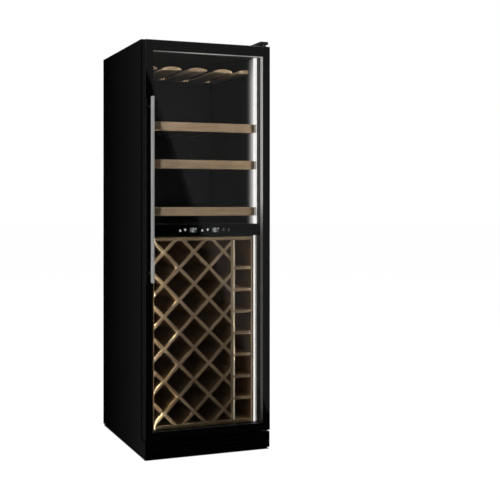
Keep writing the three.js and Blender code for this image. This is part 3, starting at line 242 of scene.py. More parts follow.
class Shape:
    """A mesh under construction, in millimetres, made of closed parts."""

    def __init__(self) -> None:
        """Start with an empty mesh."""
        self.mesh = bmesh.new()

    def take(self, part: BMesh, slot: int | None = 0) -> "Shape":
        """Move a finished part into this shape.

        Args:
            part: the part, which is freed.
            slot: the number of its finish, or None where its faces have theirs.

        Returns:
            This shape.
        """
        if slot is not None:
            for face in part.faces:
                face.material_index = slot
        kept = bpy.data.meshes.new("part")
        part.to_mesh(kept)
        part.free()
        self.mesh.from_mesh(kept)
        bpy.data.meshes.remove(kept)
        return self

    def _round(self, part: BMesh, edges: Sequence[BMEdge], rounding: float, steps: int) -> None:
        """Round a part's edges.

        Args:
            part: the part.
            edges: the edges to round.
            rounding: their radius.
            steps: facets across a rounded edge.
        """
        look = {"offset": rounding, "segments": steps, "profile": 0.5, "clamp_overlap": True}
        bmesh.ops.bevel(part, geom=edges, affect="EDGES", **look)

    def box(
        self, low: Point, high: Point, rounding: float = 0.0, steps: int = 2, slot: int = 0
    ) -> "Shape":
        """Add a box with rounded edges.

        Args:
            low: its lowest corner.
            high: its highest corner.
            rounding: the radius of its edges.
            steps: facets across a rounded edge.
            slot: the number of its finish.

        Returns:
            This shape.
        """
        part = bmesh.new()
        size = Vector(high) - Vector(low)
        middle = (Vector(high) + Vector(low)) / 2
        place = Matrix.Translation(middle) @ Matrix.Diagonal((*size, 1))
        bmesh.ops.create_cube(part, size=1, matrix=place)
        if rounding:
            self._round(part, part.edges[:], rounding, steps)
        return self.take(part, slot)

    def prism(
        self,
        outline: Outline,
        start: float,
        end: float,
        axis: Axis = Axis.Y,
        rounding: float = 0.0,
        steps: int = 2,
        slot: int = 0,
    ) -> "Shape":
        """Add an outline extruded along an axis.

        Args:
            outline: corners as (x, z) along Y or (x, y) along Z.
            start: where it starts on the axis.
            end: where it ends.
            axis: the direction of the extrusion.
            rounding: the radius of its sharp edges.
            steps: facets across a rounded edge.
            slot: the number of its finish.

        Returns:
            This shape.
        """
        part = bmesh.new()
        rings = []
        for along in (start, end):
            spots = [(a, along, b) if axis is Axis.Y else (a, b, along) for a, b in outline]
            rings.append([part.verts.new(spot) for spot in spots])
        first, last = rings
        part.faces.new(first)
        part.faces.new(last)
        for n in range(len(outline)):
            m = (n + 1) % len(outline)
            part.faces.new((first[n], first[m], last[m], last[n]))
        bmesh.ops.recalc_face_normals(part, faces=part.faces[:])
        if rounding:
            sharp = [e for e in part.edges if e.calc_face_angle(0) > SMOOTH_ANGLE]
            self._round(part, sharp, rounding, steps)
        return self.take(part, slot)

    def lathe(
        self,
        profile: Outline,
        centre: Point,
        axis: Axis = Axis.Z,
        sides: int = 40,
        slot: int = 0,
    ) -> "Shape":
        """Add a profile turned round an axis.

        Args:
            profile: points as (radius, height), from the foot to the top, on the axis at both ends.
            centre: the point of the axis at height zero.
            axis: the axis it turns round.
            sides: facets round it.
            slot: the number of its finish.

        Returns:
            This shape.
        """
        part = bmesh.new()
        place = Matrix.Translation(centre) @ axis.value
        rings: list[list[BMVert]] = []
        for radius, height in profile:
            if radius <= 0:
                rings.append([part.verts.new(place @ Vector((0, 0, height)))])
                continue
            ring = []
            for n in range(sides):
                a = 2 * math.pi * n / sides
                spot = Vector((radius * math.cos(a), radius * math.sin(a), height))
                ring.append(part.verts.new(place @ spot))
            rings.append(ring)
        for low, high in zip(rings, rings[1:]):
            for n in range(sides):
                m = (n + 1) % sides
                corners = [low[n % len(low)], low[m % len(low)], high[m % len(high)]]
                corners.append(high[n % len(high)])
                unlike = list(dict.fromkeys(corners))
                if len(unlike) > 2:
                    part.faces.new(unlike)
        bmesh.ops.recalc_face_normals(part, faces=part.faces[:])
        return self.take(part, slot)

    def tube(self, path: Sequence[Point], radius: float, sides: int = 10, slot: int = 0) -> "Shape":
        """Add a round wire along a path.

        Args:
            path: the points it follows.
            radius: its radius.
            sides: facets round it.
            slot: the number of its finish.

        Returns:
            This shape.
        """
        part = bmesh.new()
        points = [Vector(p) for p in path]
        across = Vector((0, 0, 1))
        rings = []
        for n, point in enumerate(points):
            before = points[max(n - 1, 0)]
            after = points[min(n + 1, len(points) - 1)]
            along = (after - before).normalized()
            if abs(along.dot(across)) > 0.98:
                across = Vector((1, 0, 0))
            across = (across - along * along.dot(across)).normalized()
            other = along.cross(across)
            ring = []
            for k in range(sides):
                a = 2 * math.pi * k / sides
                spot = point + (across * math.cos(a) + other * math.sin(a)) * radius
                ring.append(part.verts.new(spot))
            rings.append(ring)
        for low, high in zip(rings, rings[1:]):
            for k in range(sides):
                m = (k + 1) % sides
                part.faces.new((low[k], low[m], high[m], high[k]))
        part.faces.new(rings[0])
        part.faces.new(rings[-1])
        bmesh.ops.recalc_face_normals(part, faces=part.faces[:])
        return self.take(part, slot)

    def object(self, name: str, finishes: Sequence["Finish"], face_offset: float = DOOR_FACE) -> Object:
        """Turn the shape into an object at the origin, in metres.

        Args:
            name: the object's name.
            finishes: its finishes, in the order of the slots' numbers.
            face_offset: what is added to Y, zero for a small mesh that is repeated later.

        Returns:
            The new object.
        """
        place = Matrix.Diagonal((MM, MM, MM, 1)) @ Matrix.Translation((0, face_offset, 0))
        bmesh.ops.transform(self.mesh, matrix=place, verts=self.mesh.verts[:])
        data = bpy.data.meshes.new(name)
        self.mesh.to_mesh(data)
        self.mesh.free()
        smooth(data)
        for finish in finishes:
            data.materials.append(finish.material())
        return put(name, data)


def merge(name: str, pieces: Sequence[Object]) -> Object:
    """Join finished objects into one, with their finishes kept.

    Args:
        name: the name of the joined object.
        pieces: objects at the origin, which are used up.

    Returns:
        The joined object.
    """
    whole = bmesh.new()
    data = bpy.data.meshes.new(name)
    for piece in pieces:
        first = len(whole.faces)
        whole.from_mesh(piece.data)
        whole.faces.ensure_lookup_table()
        places = {}
        for slot, finish in enumerate(piece.data.materials):
            if finish is None:  # the empty slot that a pattern leaves
                continue
            if finish.name not in data.materials:
                data.materials.append(finish)
            places[slot] = data.materials.find(finish.name)
        for face in whole.faces[first:]:
            face.material_index = places[face.material_index]
        bpy.data.objects.remove(piece)
    whole.to_mesh(data)
    whole.free()
    smooth(data)
    return put(name, data)


# ---- patterns that repeat


class Pattern:
    """A Geometry Nodes tree with named inputs that is applied once and leaves a plain mesh."""

    def __init__(self, name: str, inputs: dict[str, str]) -> None:
        """Make the tree's interface.

        Args:
            name: the tree's name.
            inputs: socket types by input name.
        """
        self.tree = bpy.data.node_groups.new(name, "GeometryNodeTree")
        face = self.tree.interface
        face.new_socket(name="Geometry", in_out="INPUT", socket_type="NodeSocketGeometry")
        face.new_socket(name="Geometry", in_out="OUTPUT", socket_type="NodeSocketGeometry")
        self.sockets = {
            label: face.new_socket(name=label, in_out="INPUT", socket_type=kind).identifier
            for label, kind in inputs.items()
        }
        self.inputs = add(self.tree, "NodeGroupInput").outputs

    def close(self, geometry: Node) -> None:
        """Make the result real, give it its finish and lead it out.

        Args:
            geometry: the node that gives the instances.
        """
        real = add(self.tree, "GeometryNodeRealizeInstances", {"Geometry": geometry})
        given = {"Geometry": real, "Material": self.inputs["Finish"]}
        finish = add(self.tree, "GeometryNodeSetMaterial", given)
        add(self.tree, "NodeGroupOutput", {"Geometry": finish})

    def apply(self, piece: Object, values: dict[str, object]) -> Object:
        """Run the tree on an object and keep the result as its mesh.

        Args:
            piece: the object whose mesh goes in.
            values: what each named input is set to.

        Returns:
            The same object with a plain mesh.
        """
        modifier = piece.modifiers.new(self.tree.name, "NODES")
        modifier.node_group = self.tree
        for label, value in values.items():
            modifier[self.sockets[label]] = value
        state = bpy.context.evaluated_depsgraph_get()
        data = bpy.data.meshes.new_from_object(piece.evaluated_get(state))
        piece.modifiers.remove(modifier)
        piece.data = data
        smooth(data)
        return piece


class RowPattern(Pattern):
    """Copies of one small mesh at equal steps along a straight line."""

    def __init__(self) -> None:
        """Build the tree."""
        super().__init__(
            "Row of copies",
            {
                "Count": "NodeSocketInt",
                "Start": "NodeSocketVector",
                "Step": "NodeSocketVector",
                "Finish": "NodeSocketMaterial",
            },
        )
        tree, given = self.tree, self.inputs
        run = {"Count": given["Count"], "Start Location": given["Start"], "Offset": given["Step"]}
        line = add(tree, "GeometryNodeMeshLine", run, mode="OFFSET")
        copied = {"Points": line, "Instance": given["Geometry"]}
        self.close(add(tree, "GeometryNodeInstanceOnPoints", copied))

    def row(
        self, shape: Shape, name: str, count: int, start: Point, step: Point, finish: "Finish"
    ) -> Object:
        """Repeat a shape along a line.

        Args:
            shape: the small shape, round its own origin.
            name: the name of the result.
            count: how many copies.
            start: where the first one is, in mm from the door's face.
            step: from one copy to the next, in mm.
            finish: their finish.

        Returns:
            One object with all copies.
        """
        piece = shape.object(name, [finish], face_offset=0)
        first = Vector((start[0], start[1] + DOOR_FACE, start[2])) * MM
        sizes = {"Count": count, "Start": first, "Step": Vector(step) * MM}
        return self.apply(piece, {**sizes, "Finish": finish.material()})


class CradlePattern(Pattern):
    """Wavy cross wires that hold bottles, at equal steps from the front to the back of a shelf."""

    sides = 8

    def __init__(self) -> None:
        """Build the tree: a wavy line, a round wire along it, and copies of it."""
        super().__init__(
            "Bottle cradle wires",
            {
                "Start": "NodeSocketVector",
                "Width": "NodeSocketFloat",
                "Dip": "NodeSocketFloat",
                "Bottles": "NodeSocketFloat",
                "Points": "NodeSocketInt",
                "Wire Radius": "NodeSocketFloat",
                "Wires": "NodeSocketInt",
                "Spacing": "NodeSocketFloat",
                "Finish": "NodeSocketMaterial",
            },
        )
        tree, given = self.tree, self.inputs
        gaps = add(tree, "ShaderNodeMath", {0: given["Points"], 1: 1.0}, operation="SUBTRACT")
        pitch = add(tree, "ShaderNodeMath", {0: given["Width"], 1: gaps}, operation="DIVIDE")
        stride = add(tree, "ShaderNodeCombineXYZ", {"X": pitch})
        run = {"Count": given["Points"], "Offset": stride}
        line = add(tree, "GeometryNodeMeshLine", run, mode="OFFSET")
        index = add(tree, "GeometryNodeInputIndex")
        share = add(tree, "ShaderNodeMath", {0: index, 1: gaps}, operation="DIVIDE")
        turns = add(tree, "ShaderNodeMath", {0: share, 1: given["Bottles"]}, operation="MULTIPLY")
        angle = add(tree, "ShaderNodeMath", {0: turns, 1: math.tau}, operation="MULTIPLY")
        wave = add(tree, "ShaderNodeMath", {0: angle}, operation="COSINE")
        below = add(tree, "ShaderNodeMath", {0: wave, 1: 1.0}, operation="SUBTRACT")
        half = add(tree, "ShaderNodeMath", {0: given["Dip"], 1: 0.5}, operation="MULTIPLY")
        drop = add(tree, "ShaderNodeMath", {0: below, 1: half}, operation="MULTIPLY")
        offset = add(tree, "ShaderNodeCombineXYZ", {"Z": drop})
        waved = add(tree, "GeometryNodeSetPosition", {"Geometry": line, "Offset": offset})
        curve = add(tree, "GeometryNodeMeshToCurve", {0: waved})
        size = {"Resolution": self.sides, "Radius": given["Wire Radius"]}
        ring = add(tree, "GeometryNodeCurvePrimitiveCircle", size)
        drawn = {"Curve": curve, "Profile Curve": ring, "Fill Caps": True}
        wire = add(tree, "GeometryNodeCurveToMesh", drawn)
        back = add(tree, "ShaderNodeCombineXYZ", {"Y": given["Spacing"]})
        run = {"Count": given["Wires"], "Start Location": given["Start"], "Offset": back}
        places = add(tree, "GeometryNodeMeshLine", run, mode="OFFSET")
        copied = {"Points": places, "Instance": wire}
        self.close(add(tree, "GeometryNodeInstanceOnPoints", copied))


# ---- finishes


@dataclass(frozen=True)
class Finish:
    """A material of one kind, made as a procedural node tree."""

    name: str

    def material(self) -> Material:
        """Make the material at its first use.

        Returns:
            The material.
        """
        made = bpy.data.materials.get(self.name)
        if made is not None:
            return made
        made = bpy.data.materials.new(self.name)
        made.use_nodes = True
        tree = made.node_tree
        tree.nodes.clear()
        shader = add(tree, "ShaderNodeBsdfPrincipled")
        add(tree, "ShaderNodeOutputMaterial", {"Surface": shader})
        self.dress(tree, shader)
        return made

    def dress(self, tree: NodeTree, shader: Node) -> None:
        """Set the shader and its patterns; each kind of finish does this in its own way."""
        raise NotImplementedError

    def place(
        self,
        tree: NodeTree,
        scale: Point = (1.0, 1.0, 1.0),
        turn: Point = (0.0, 0.0, 0.0),
    ) -> Node:
        """The piece's own coordinates, turned and then stretched.

        Args:
            tree: the material's tree.
            scale: stretch after the turn.
            turn: Euler angles in radians.

        Returns:
            The node with the coordinates.
        """
        own = add(tree, "ShaderNodeTexCoord").outputs["Object"]
        turned = add(tree, "ShaderNodeMapping", {"Vector": own, "Rotation": turn})
        return add(tree, "ShaderNodeMapping", {"Vector": turned, "Scale": scale})

    def vary(self, shader: Node, pattern: NodeValue, tones: Sequence[Colour], gloss: Span) -> None:
        """Let a pattern vary the tone and the gloss of the surface.

        Args:
            shader: the material's shader.
            pattern: the pattern, whose values lie mostly in the noise span.
            tones: the colours at zero and at one.
            gloss: the roughness at the span's low and high end.
        """
        tree = shader.id_data
        low, high = tones
        tone = add(tree, "ShaderNodeMix", {0: pattern, 6: low, 7: high}, data_type="RGBA")
        span = {**NOISE_SPAN, "To Min": gloss[0], "To Max": gloss[1]}
        rough = add(tree, "ShaderNodeMapRange", {"Value": pattern, **span})
        feed(shader, {"Base Color": tone, "Roughness": rough})


@dataclass(frozen=True)
class PowderCoat(Finish):
    """Steel sheet with a baked powder coat: satin, with the slight orange peel of the melt.

    The real peel is about 0.4 mm; it is drawn at 1.6 mm so that it shows.
    """

    colour: str = "#020202"
    roughness: float = 0.12
    peel: float = 1.6

    def dress(self, tree: NodeTree, shader: Node) -> None:
        """Dark base, soft patches of gloss about a hand wide, and a fine bump.

        Args:
            tree: its tree.
            shader: its shader.
        """
        own = self.place(tree)
        cloud = add(tree, "ShaderNodeTexNoise", {"Vector": own, "Scale": 9.0})
        tones = linear(self.colour), linear("#040404")
        self.vary(shader, cloud, tones, (self.roughness - 0.02, self.roughness + 0.02))
        fine = {"Vector": own, "Scale": 1 / (self.peel * MM), "Detail": 2.0}
        peel = add(tree, "ShaderNodeTexNoise", fine)
        bump = add(tree, "ShaderNodeBump", {"Height": peel, "Strength": 0.02, "Distance": 0.0001})
        feed(shader, {"Normal": bump})


@dataclass(frozen=True)
class MouldedPlastic(Finish):
    """Injection-moulded or thermoformed plastic with the fine spark-eroded grain of its mould.

    The real grain is about 0.2 mm; it is drawn at 1 mm so that it shows.
    """

    colour: str = "#101011"
    roughness: float = 0.48
    grain: float = 1.0
    shade: float = 0.86

    def dress(self, tree: NodeTree, shader: Node) -> None:
        """Even colour with a grain in gloss and bump.

        Args:
            tree: its tree.
            shader: its shader.
        """
        own = self.place(tree)
        cloud = add(tree, "ShaderNodeTexNoise", {"Vector": own, "Scale": 14.0})
        tones = linear(self.colour), linear(self.colour, self.shade)
        self.vary(shader, cloud, tones, (self.roughness - 0.04, self.roughness + 0.05))
        fine = {"Vector": own, "Scale": 1 / (self.grain * MM)}
        grain = add(tree, "ShaderNodeTexVoronoi", fine)
        bump = add(tree, "ShaderNodeBump", {"Height": grain, "Strength": 0.15, "Distance": 0.0002})
        feed(shader, {"Normal": bump})


@dataclass(frozen=True)
class LitLiner(MouldedPlastic):
    """The thermoformed liner, with the light that the strips spill along its walls.

    The spill lies on the side walls of the upper zone just behind the strips and dies away backwards.
    Near the top it fades between two heights in metres.
    """

    glow: float = 1.42
    glow_start: float = 88.0
    glow_reach: float = 38.9
    glow_wall: float = 259.0
    glow_bottom: float = 1023.0
    top_fade: Stops = ((1.69, 1.0), (1.787, 0.45))

    def dress(self, tree: NodeTree, shader: Node) -> None:
        """The plastic, and an emission that follows the distance from the strip.

        Args:
            tree: its tree.
            shader: its shader.
        """
        super().dress(tree, shader)
        own = add(tree, "ShaderNodeTexCoord").outputs["Object"]
        across, deep, tall = add(tree, "ShaderNodeSeparateXYZ", {"Vector": own}).outputs
        side = add(tree, "ShaderNodeMath", {0: across}, operation="ABSOLUTE")
        start = (self.glow_start + DOOR_FACE) * MM
        behind = add(tree, "ShaderNodeMath", {0: deep, 1: start}, operation="SUBTRACT")
        masks = [
            add(tree, "ShaderNodeMath", {0: measure, 1: limit}, operation="GREATER_THAN")
            for measure, limit in (
                (side, self.glow_wall * MM),
                (tall, self.glow_bottom * MM),
                (behind, 0.0),
            )
        ]
        far = add(tree, "ShaderNodeMath", {0: behind, 1: self.glow_reach * MM}, operation="DIVIDE")
        square = add(tree, "ShaderNodeMath", {0: far, 1: far}, operation="MULTIPLY")
        minus = add(tree, "ShaderNodeMath", {0: square, 1: -1.0}, operation="MULTIPLY")
        power = add(tree, "ShaderNodeMath", {0: minus}, operation="EXPONENT")
        for factor in (*masks, ramp(tree, tall, self.top_fade), self.glow):
            power = add(tree, "ShaderNodeMath", {0: power, 1: factor}, operation="MULTIPLY")
        feed(shader, {"Emission Color": linear(STRIP_WHITE), "Emission Strength": power})


@dataclass(frozen=True)
class DoorGlass(Finish):
    """Toughened glass with a dark tint, polished, in which what is behind shows dimmed."""

    tint: str = "#020303"
    share: float = 0.195
    specular: float = 1.0

    def dress(self, tree: NodeTree, shader: Node) -> None:
        """A dark see-through layer on each face of the pane, with faint smears in the gloss.

        Args:
            tree: its tree.
            shader: its shader.
        """
        own = self.place(tree)
        smear = add(tree, "ShaderNodeTexNoise", {"Vector": own, "Scale": 3.0})
        span = {**NOISE_SPAN, "To Min": 0.0, "To Max": 0.01}
        gloss = add(tree, "ShaderNodeMapRange", {"Value": smear, **span})
        feed(shader, {"Roughness": gloss, "Base Color": linear(self.tint), "Alpha": self.share})
        feed(shader, {"IOR": 1.57, "Specular IOR Level": self.specular})


@dataclass(frozen=True)
class FiredEnamel(Finish):
    """Black ceramic enamel fired on to the glass, seen through it: deep black under a clear gloss."""

    colour: str = "#020202"
    roughness: float = 0.04

    def dress(self, tree: NodeTree, shader: Node) -> None:
        """Black with faint pinholes of the print, 2 mm apart, in its tone.

        Args:
            tree: its tree.
            shader: its shader.
        """
        own = self.place(tree)
        dots = add(tree, "ShaderNodeTexNoise", {"Vector": own, "Scale": 500.0})
        tones = linear(self.colour), linear("#050505")
        self.vary(shader, dots, tones, (self.roughness, self.roughness + 0.02))
        feed(shader, {"IOR": 1.52})


@dataclass(frozen=True)
class GroundGlassEdge(Finish):
    """The ground edge of a tinted pane: dark, and matt where the wheel has cut the glass."""

    colour: str = "#0a0b0b"

    def dress(self, tree: NodeTree, shader: Node) -> None:
        """Fine scratches along the edge, about 0.3 mm apart, drawn at 1 mm.

        Args:
            tree: its tree.
            shader: its shader.
        """
        own = self.place(tree, scale=(1.0, 1.0, 0.05))
        lines = add(tree, "ShaderNodeTexNoise", {"Vector": own, "Scale": 1000.0})
        self.vary(shader, lines, (linear(self.colour), linear("#141616")), (0.25, 0.45))


class Grain(Enum):
    """The way a board's grain runs, as the turn that brings it to X."""

    ACROSS = (0.0, 0.0, 0.0)
    DEEP = (0.0, 0.0, -math.pi / 2)
    UPRIGHT = (0.0, math.pi / 2, 0.0)
    RISING = (0.0, math.pi / 4, 0.0)
    FALLING = (0.0, -math.pi / 4, 0.0)


@dataclass(frozen=True)
class Beech(Finish):
    """Planed and lacquered beech: straight pale brown grain with short dark flecks.

    Grain lines are 3 to 6 mm apart on a flat-sawn board. The flecks are 2 to 3 mm long in the wood and are
    drawn at 7 mm so that they show. The eased arrises carry a painted highlight: a paler colour where the
    eased surface leans away from the board's face, in place of the light that the edges catch.
    """

    grain: Grain = Grain.ACROSS
    light: str = "#d6b890"
    dark: str = "#b08f67"
    fleck: str = "#8c6c49"
    line: float = 5.0
    fleck_span: Span = (0.62, 0.72)
    fleck_share: float = 0.5
    board_shade: Span = (0.84, 1.08)
    easing: float = 2.2
    # painted highlight: a paler colour on the eased arrises, where the eased surface leans away from the
    # face
    arris_highlight: str = "#fbf4e6"
    arris_highlight_lean: float = 0.86
    arris_highlight_share: float = 0.65
    # painted shade: the share of light kept where the surface faces down
    underside_shade: float = 1.0
    underside_shade_facing: Span = (-0.95, -0.6)
    lacquer: float = 0.25
    lacquer_roughness: float = 0.25

    def dress(self, tree: NodeTree, shader: Node) -> None:
        """Long streaks, flecks, a change from board to board, a painted highlight on the arrises, painted
        shade on faces that point down where one is wanted, and pores in the bump.

        Args:
            tree: its tree.
            shader: its shader.
        """
        streaks = self._streaks(tree)
        span = {**NOISE_SPAN, "To Min": 0.0, "To Max": 1.0}
        share = add(tree, "ShaderNodeMapRange", {"Value": streaks, **span})
        tones = {0: share, 6: linear(self.dark), 7: linear(self.light)}
        tone = add(tree, "ShaderNodeMix", tones, data_type="RGBA")
        tones = {0: self._flecks(tree), 6: tone, 7: linear(self.fleck)}
        flecked = add(tree, "ShaderNodeMix", tones, data_type="RGBA")
        shade = self._shade(tree)
        whole = add(tree, "ShaderNodeCombineColor", {0: shade, 1: shade, 2: shade})
        tones = {0: 1.0, 6: flecked, 7: whole}
        shaded = add(tree, "ShaderNodeMix", tones, data_type="RGBA", blend_type="MULTIPLY")
        eased = add(tree, "ShaderNodeBevel", {"Radius": self.easing * MM}, samples=8)
        # the painted highlight on the arrises
        tones = {0: self._painted_arris_highlight(tree, eased), 6: shaded, 7: linear(self.arris_highlight)}
        edged = add(tree, "ShaderNodeMix", tones, data_type="RGBA")
        span = {**NOISE_SPAN, "To Min": 0.55, "To Max": 0.42}
        gloss = add(tree, "ShaderNodeMapRange", {"Value": streaks, **span})
        pores = {"Height": streaks, "Strength": 0.25, "Distance": 0.0004, "Normal": eased}
        bump = add(tree, "ShaderNodeBump", pores)
        feed(shader, {"Base Color": edged, "Roughness": gloss, "Normal": bump})
        feed(shader, {"Coat Weight": self.lacquer, "Coat Roughness": self.lacquer_roughness})
        feed(shader, {"Specular IOR Level": 0.35})

    def _streaks(self, tree: NodeTree) -> Node:
        """Long streaks along the grain.

        Args:
            tree: the material's tree.

        Returns:
            The noise.
        """
        along = self.place(tree, scale=(0.035, 1.0, 1.0), turn=self.grain.value)
        look = {"Scale": 1 / (self.line * MM), "Detail": 5.0, "Roughness": 0.62}
        return add(tree, "ShaderNodeTexNoise", {"Vector": along, **look})

    def _flecks(self, tree: NodeTree) -> Node:
        """Short dark flecks along the grain, as the share of their colour.

        Args:
            tree: the material's tree.

        Returns:
            The share.
        """
        along = self.place(tree, scale=(0.16, 1.0, 1.0), turn=self.grain.value)
        spots = add(tree, "ShaderNodeTexNoise", {"Vector": along, "Scale": 900.0, "Detail": 1.0})
        low, high = self.fleck_span
        span = {"From Min": low, "From Max": high, "To Min": 0.0, "To Max": self.fleck_share}
        return add(tree, "ShaderNodeMapRange", {"Value": spots, **span})

    def _shade(self, tree: NodeTree) -> Node:
        """The change of tone from board to board, and painted shade on faces that point down where one is
        wanted.

        Args:
            tree: the material's tree.

        Returns:
            The node with the share of light.
        """
        own = self.place(tree)
        boards = add(tree, "ShaderNodeTexNoise", {"Vector": own, "Scale": 11.0})
        low, high = self.board_shade
        span = {**NOISE_SPAN, "To Min": low, "To Max": high}
        shade = add(tree, "ShaderNodeMapRange", {"Value": boards, **span})
        if self.underside_shade == 1.0:
            return shade
        # painted shade: darker where the surface faces down
        normal = add(tree, "ShaderNodeTexCoord").outputs["Normal"]
        facing = add(tree, "ShaderNodeSeparateXYZ", {"Vector": normal}).outputs[2]
        low, high = self.underside_shade_facing
        span = {"From Min": low, "From Max": high, "To Min": self.underside_shade, "To Max": 1.0}
        below = add(tree, "ShaderNodeMapRange", {"Value": facing, **span})
        return add(tree, "ShaderNodeMath", {0: shade, 1: below}, operation="MULTIPLY")

    def _painted_arris_highlight(self, tree: NodeTree, eased: Node) -> Node:
        """The painted highlight of the arrises: a paler colour where the eased surface leans away from the
        board's own face.

        Args:
            tree: the material's tree.
            eased: the node with the eased surface's direction.

        Returns:
            The node with the share of the painted highlight's colour.
        """
        flat = add(tree, "ShaderNodeNewGeometry").outputs["True Normal"]
        lean = add(tree, "ShaderNodeVectorMath", {0: eased, 1: flat}, operation="DOT_PRODUCT")
        span = {"From Min": 1.0, "From Max": self.arris_highlight_lean, "To Max": self.arris_highlight_share}
        return add(tree, "ShaderNodeMapRange", {"Value": lean, **span})


@dataclass(frozen=True)
class LitBeech(Beech):
    """Beech whose cut corner faces the light strip beside it and shows as a thin bright line."""

    corner: Point = (0.7071, -0.7071, 0.0)
    corner_facing: float = 0.95
    corner_end: float = 170.0
    glow: float = 0.8

    def dress(self, tree: NodeTree, shader: Node) -> None:
        """The wood, and a line of light down its cut corner.

        Args:
            tree: its tree.
            shader: its shader.
        """
        super().dress(tree, shader)
        place = add(tree, "ShaderNodeTexCoord").outputs
        across = add(tree, "ShaderNodeSeparateXYZ", {"Vector": place["Object"]}).outputs[0]
        ways = {0: place["Normal"], 1: self.corner}
        facing = add(tree, "ShaderNodeVectorMath", ways, operation="DOT_PRODUCT")
        limits = {0: facing, 1: self.corner_facing}
        cut = add(tree, "ShaderNodeMath", limits, operation="GREATER_THAN")
        limits = {0: across, 1: self.corner_end * MM}
        left = add(tree, "ShaderNodeMath", limits, operation="LESS_THAN")
        power = add(tree, "ShaderNodeMath", {0: left, 1: self.glow}, operation="MULTIPLY")
        power = add(tree, "ShaderNodeMath", {0: cut, 1: power}, operation="MULTIPLY")
        feed(shader, {"Emission Color": linear("#f6ecdf"), "Emission Strength": power})


@dataclass(frozen=True)
class BrushedAluminium(Finish):
    """Anodised aluminium brushed along its length: a soft long highlight with fine lines.

    The lines are about 0.1 mm apart; they are drawn at 0.8 mm so that they show.
    """

    colour: str = "#b9b8b5"
    roughness: float = 0.34
    metal: float = 1.0
    shade: float = 0.82

    def dress(self, tree: NodeTree, shader: Node) -> None:
        """Lines along Z in the tone, the gloss and the bump.

        Args:
            tree: its tree.
            shader: its shader.
        """
        own = self.place(tree, scale=(1.0, 1.0, 0.012))
        lines = add(tree, "ShaderNodeTexNoise", {"Vector": own, "Scale": 1250.0, "Detail": 2.0})
        tones = linear(self.colour, self.shade), linear(self.colour)
        self.vary(shader, lines, tones, (self.roughness + 0.05, self.roughness - 0.04))
        bump = add(tree, "ShaderNodeBump", {"Height": lines, "Strength": 0.08, "Distance": 0.0001})
        feed(shader, {"Normal": bump, "Metallic": self.metal})


@dataclass(frozen=True)
class LitSpacer(BrushedAluminium):
    """The spacer bar between the panes, with the light of the strips that it catches.

    The upper zone's strips are the brighter ones, so the bar is brighter above the divider. The stops are
    heights, and distances from the middle, in metres.
    """

    stops: Stops = (
        (0.125, 0.008),
        (0.19, 0.075),
        (0.97, 0.085),
        (1.06, 0.25),
        (1.13, 0.56),
    )
    across: Stops = (
        (-0.24, 0.35),
        (-0.13, 0.68),
        (-0.04, 0.92),
        (0.05, 1.0),
        (0.15, 0.67),
        (0.235, 0.67),
        (0.262, 1.0),
    )

    def dress(self, tree: NodeTree, shader: Node) -> None:
        """The metal, and a glow that steps up past the divider.

        Args:
            tree: its tree.
            shader: its shader.
        """
        super().dress(tree, shader)
        own = add(tree, "ShaderNodeTexCoord").outputs["Object"]
        place = add(tree, "ShaderNodeSeparateXYZ", {"Vector": own}).outputs
        rise, run = ramp(tree, place[2], self.stops), ramp(tree, place[0], self.across)
        power = add(tree, "ShaderNodeMath", {0: rise, 1: run}, operation="MULTIPLY")
        feed(shader, {"Emission Color": linear(STRIP_WHITE), "Emission Strength": power})


@dataclass(frozen=True)
class GalvanisedSteel(Finish):
    """Hot-dip galvanised steel sheet, grey with the crystal spangle of the zinc, 8 mm across."""

    light: str = "#a9acae"
    dark: str = "#8a8d90"
    spangle: float = 8.0
    roughness: float = 0.42

    def dress(self, tree: NodeTree, shader: Node) -> None:
        """Crystals that differ in tone and gloss.

        Args:
            tree: its tree.
            shader: its shader.
        """
        own = self.place(tree)
        size = {"Vector": own, "Scale": 1 / (self.spangle * MM)}
        cells = add(tree, "ShaderNodeTexVoronoi", size).outputs["Color"]
        level = add(tree, "ShaderNodeSeparateColor", {0: cells})
        tones = linear(self.dark), linear(self.light)
        self.vary(shader, level, tones, (self.roughness - 0.06, self.roughness + 0.08))
        feed(shader, {"Metallic": 1.0})


@dataclass(frozen=True)
class Rubber(Finish):
    """Black synthetic rubber with a dull bloom and a faint grain."""

    colour: str = "#0d0d0d"
    roughness: float = 0.72

    def dress(self, tree: NodeTree, shader: Node) -> None:
        """Bloom in the tone and a fine bump, 1.2 mm.

        Args:
            tree: its tree.
            shader: its shader.
        """
        own = self.place(tree)
        bloom = add(tree, "ShaderNodeTexNoise", {"Vector": own, "Scale": 40.0})
        tones = linear(self.colour), linear("#161616")
        self.vary(shader, bloom, tones, (self.roughness, self.roughness + 0.1))
        fine = add(tree, "ShaderNodeTexNoise", {"Vector": own, "Scale": 830.0})
        bump = add(tree, "ShaderNodeBump", {"Height": fine, "Strength": 0.2, "Distance": 0.0002})
        feed(shader, {"Normal": bump})


@dataclass(frozen=True)
class RigidFoam(Finish):
    """Foamed polyurethane with its skin of small closed cells, about 1.5 mm, drawn at 3 mm."""

    light: str = "#d8b77a"
    dark: str = "#b48f55"

    def dress(self, tree: NodeTree, shader: Node) -> None:
        """Cells in the tone and the bump.

        Args:
            tree: its tree.
            shader: its shader.
        """
        own = self.place(tree)
        cells = add(tree, "ShaderNodeTexVoronoi", {"Vector": own, "Scale": 330.0})
        self.vary(shader, cells, (linear(self.dark), linear(self.light)), (0.8, 0.95))
        bump = add(tree, "ShaderNodeBump", {"Height": cells, "Strength": 0.5, "Distance": 0.0006})
        feed(shader, {"Normal": bump})


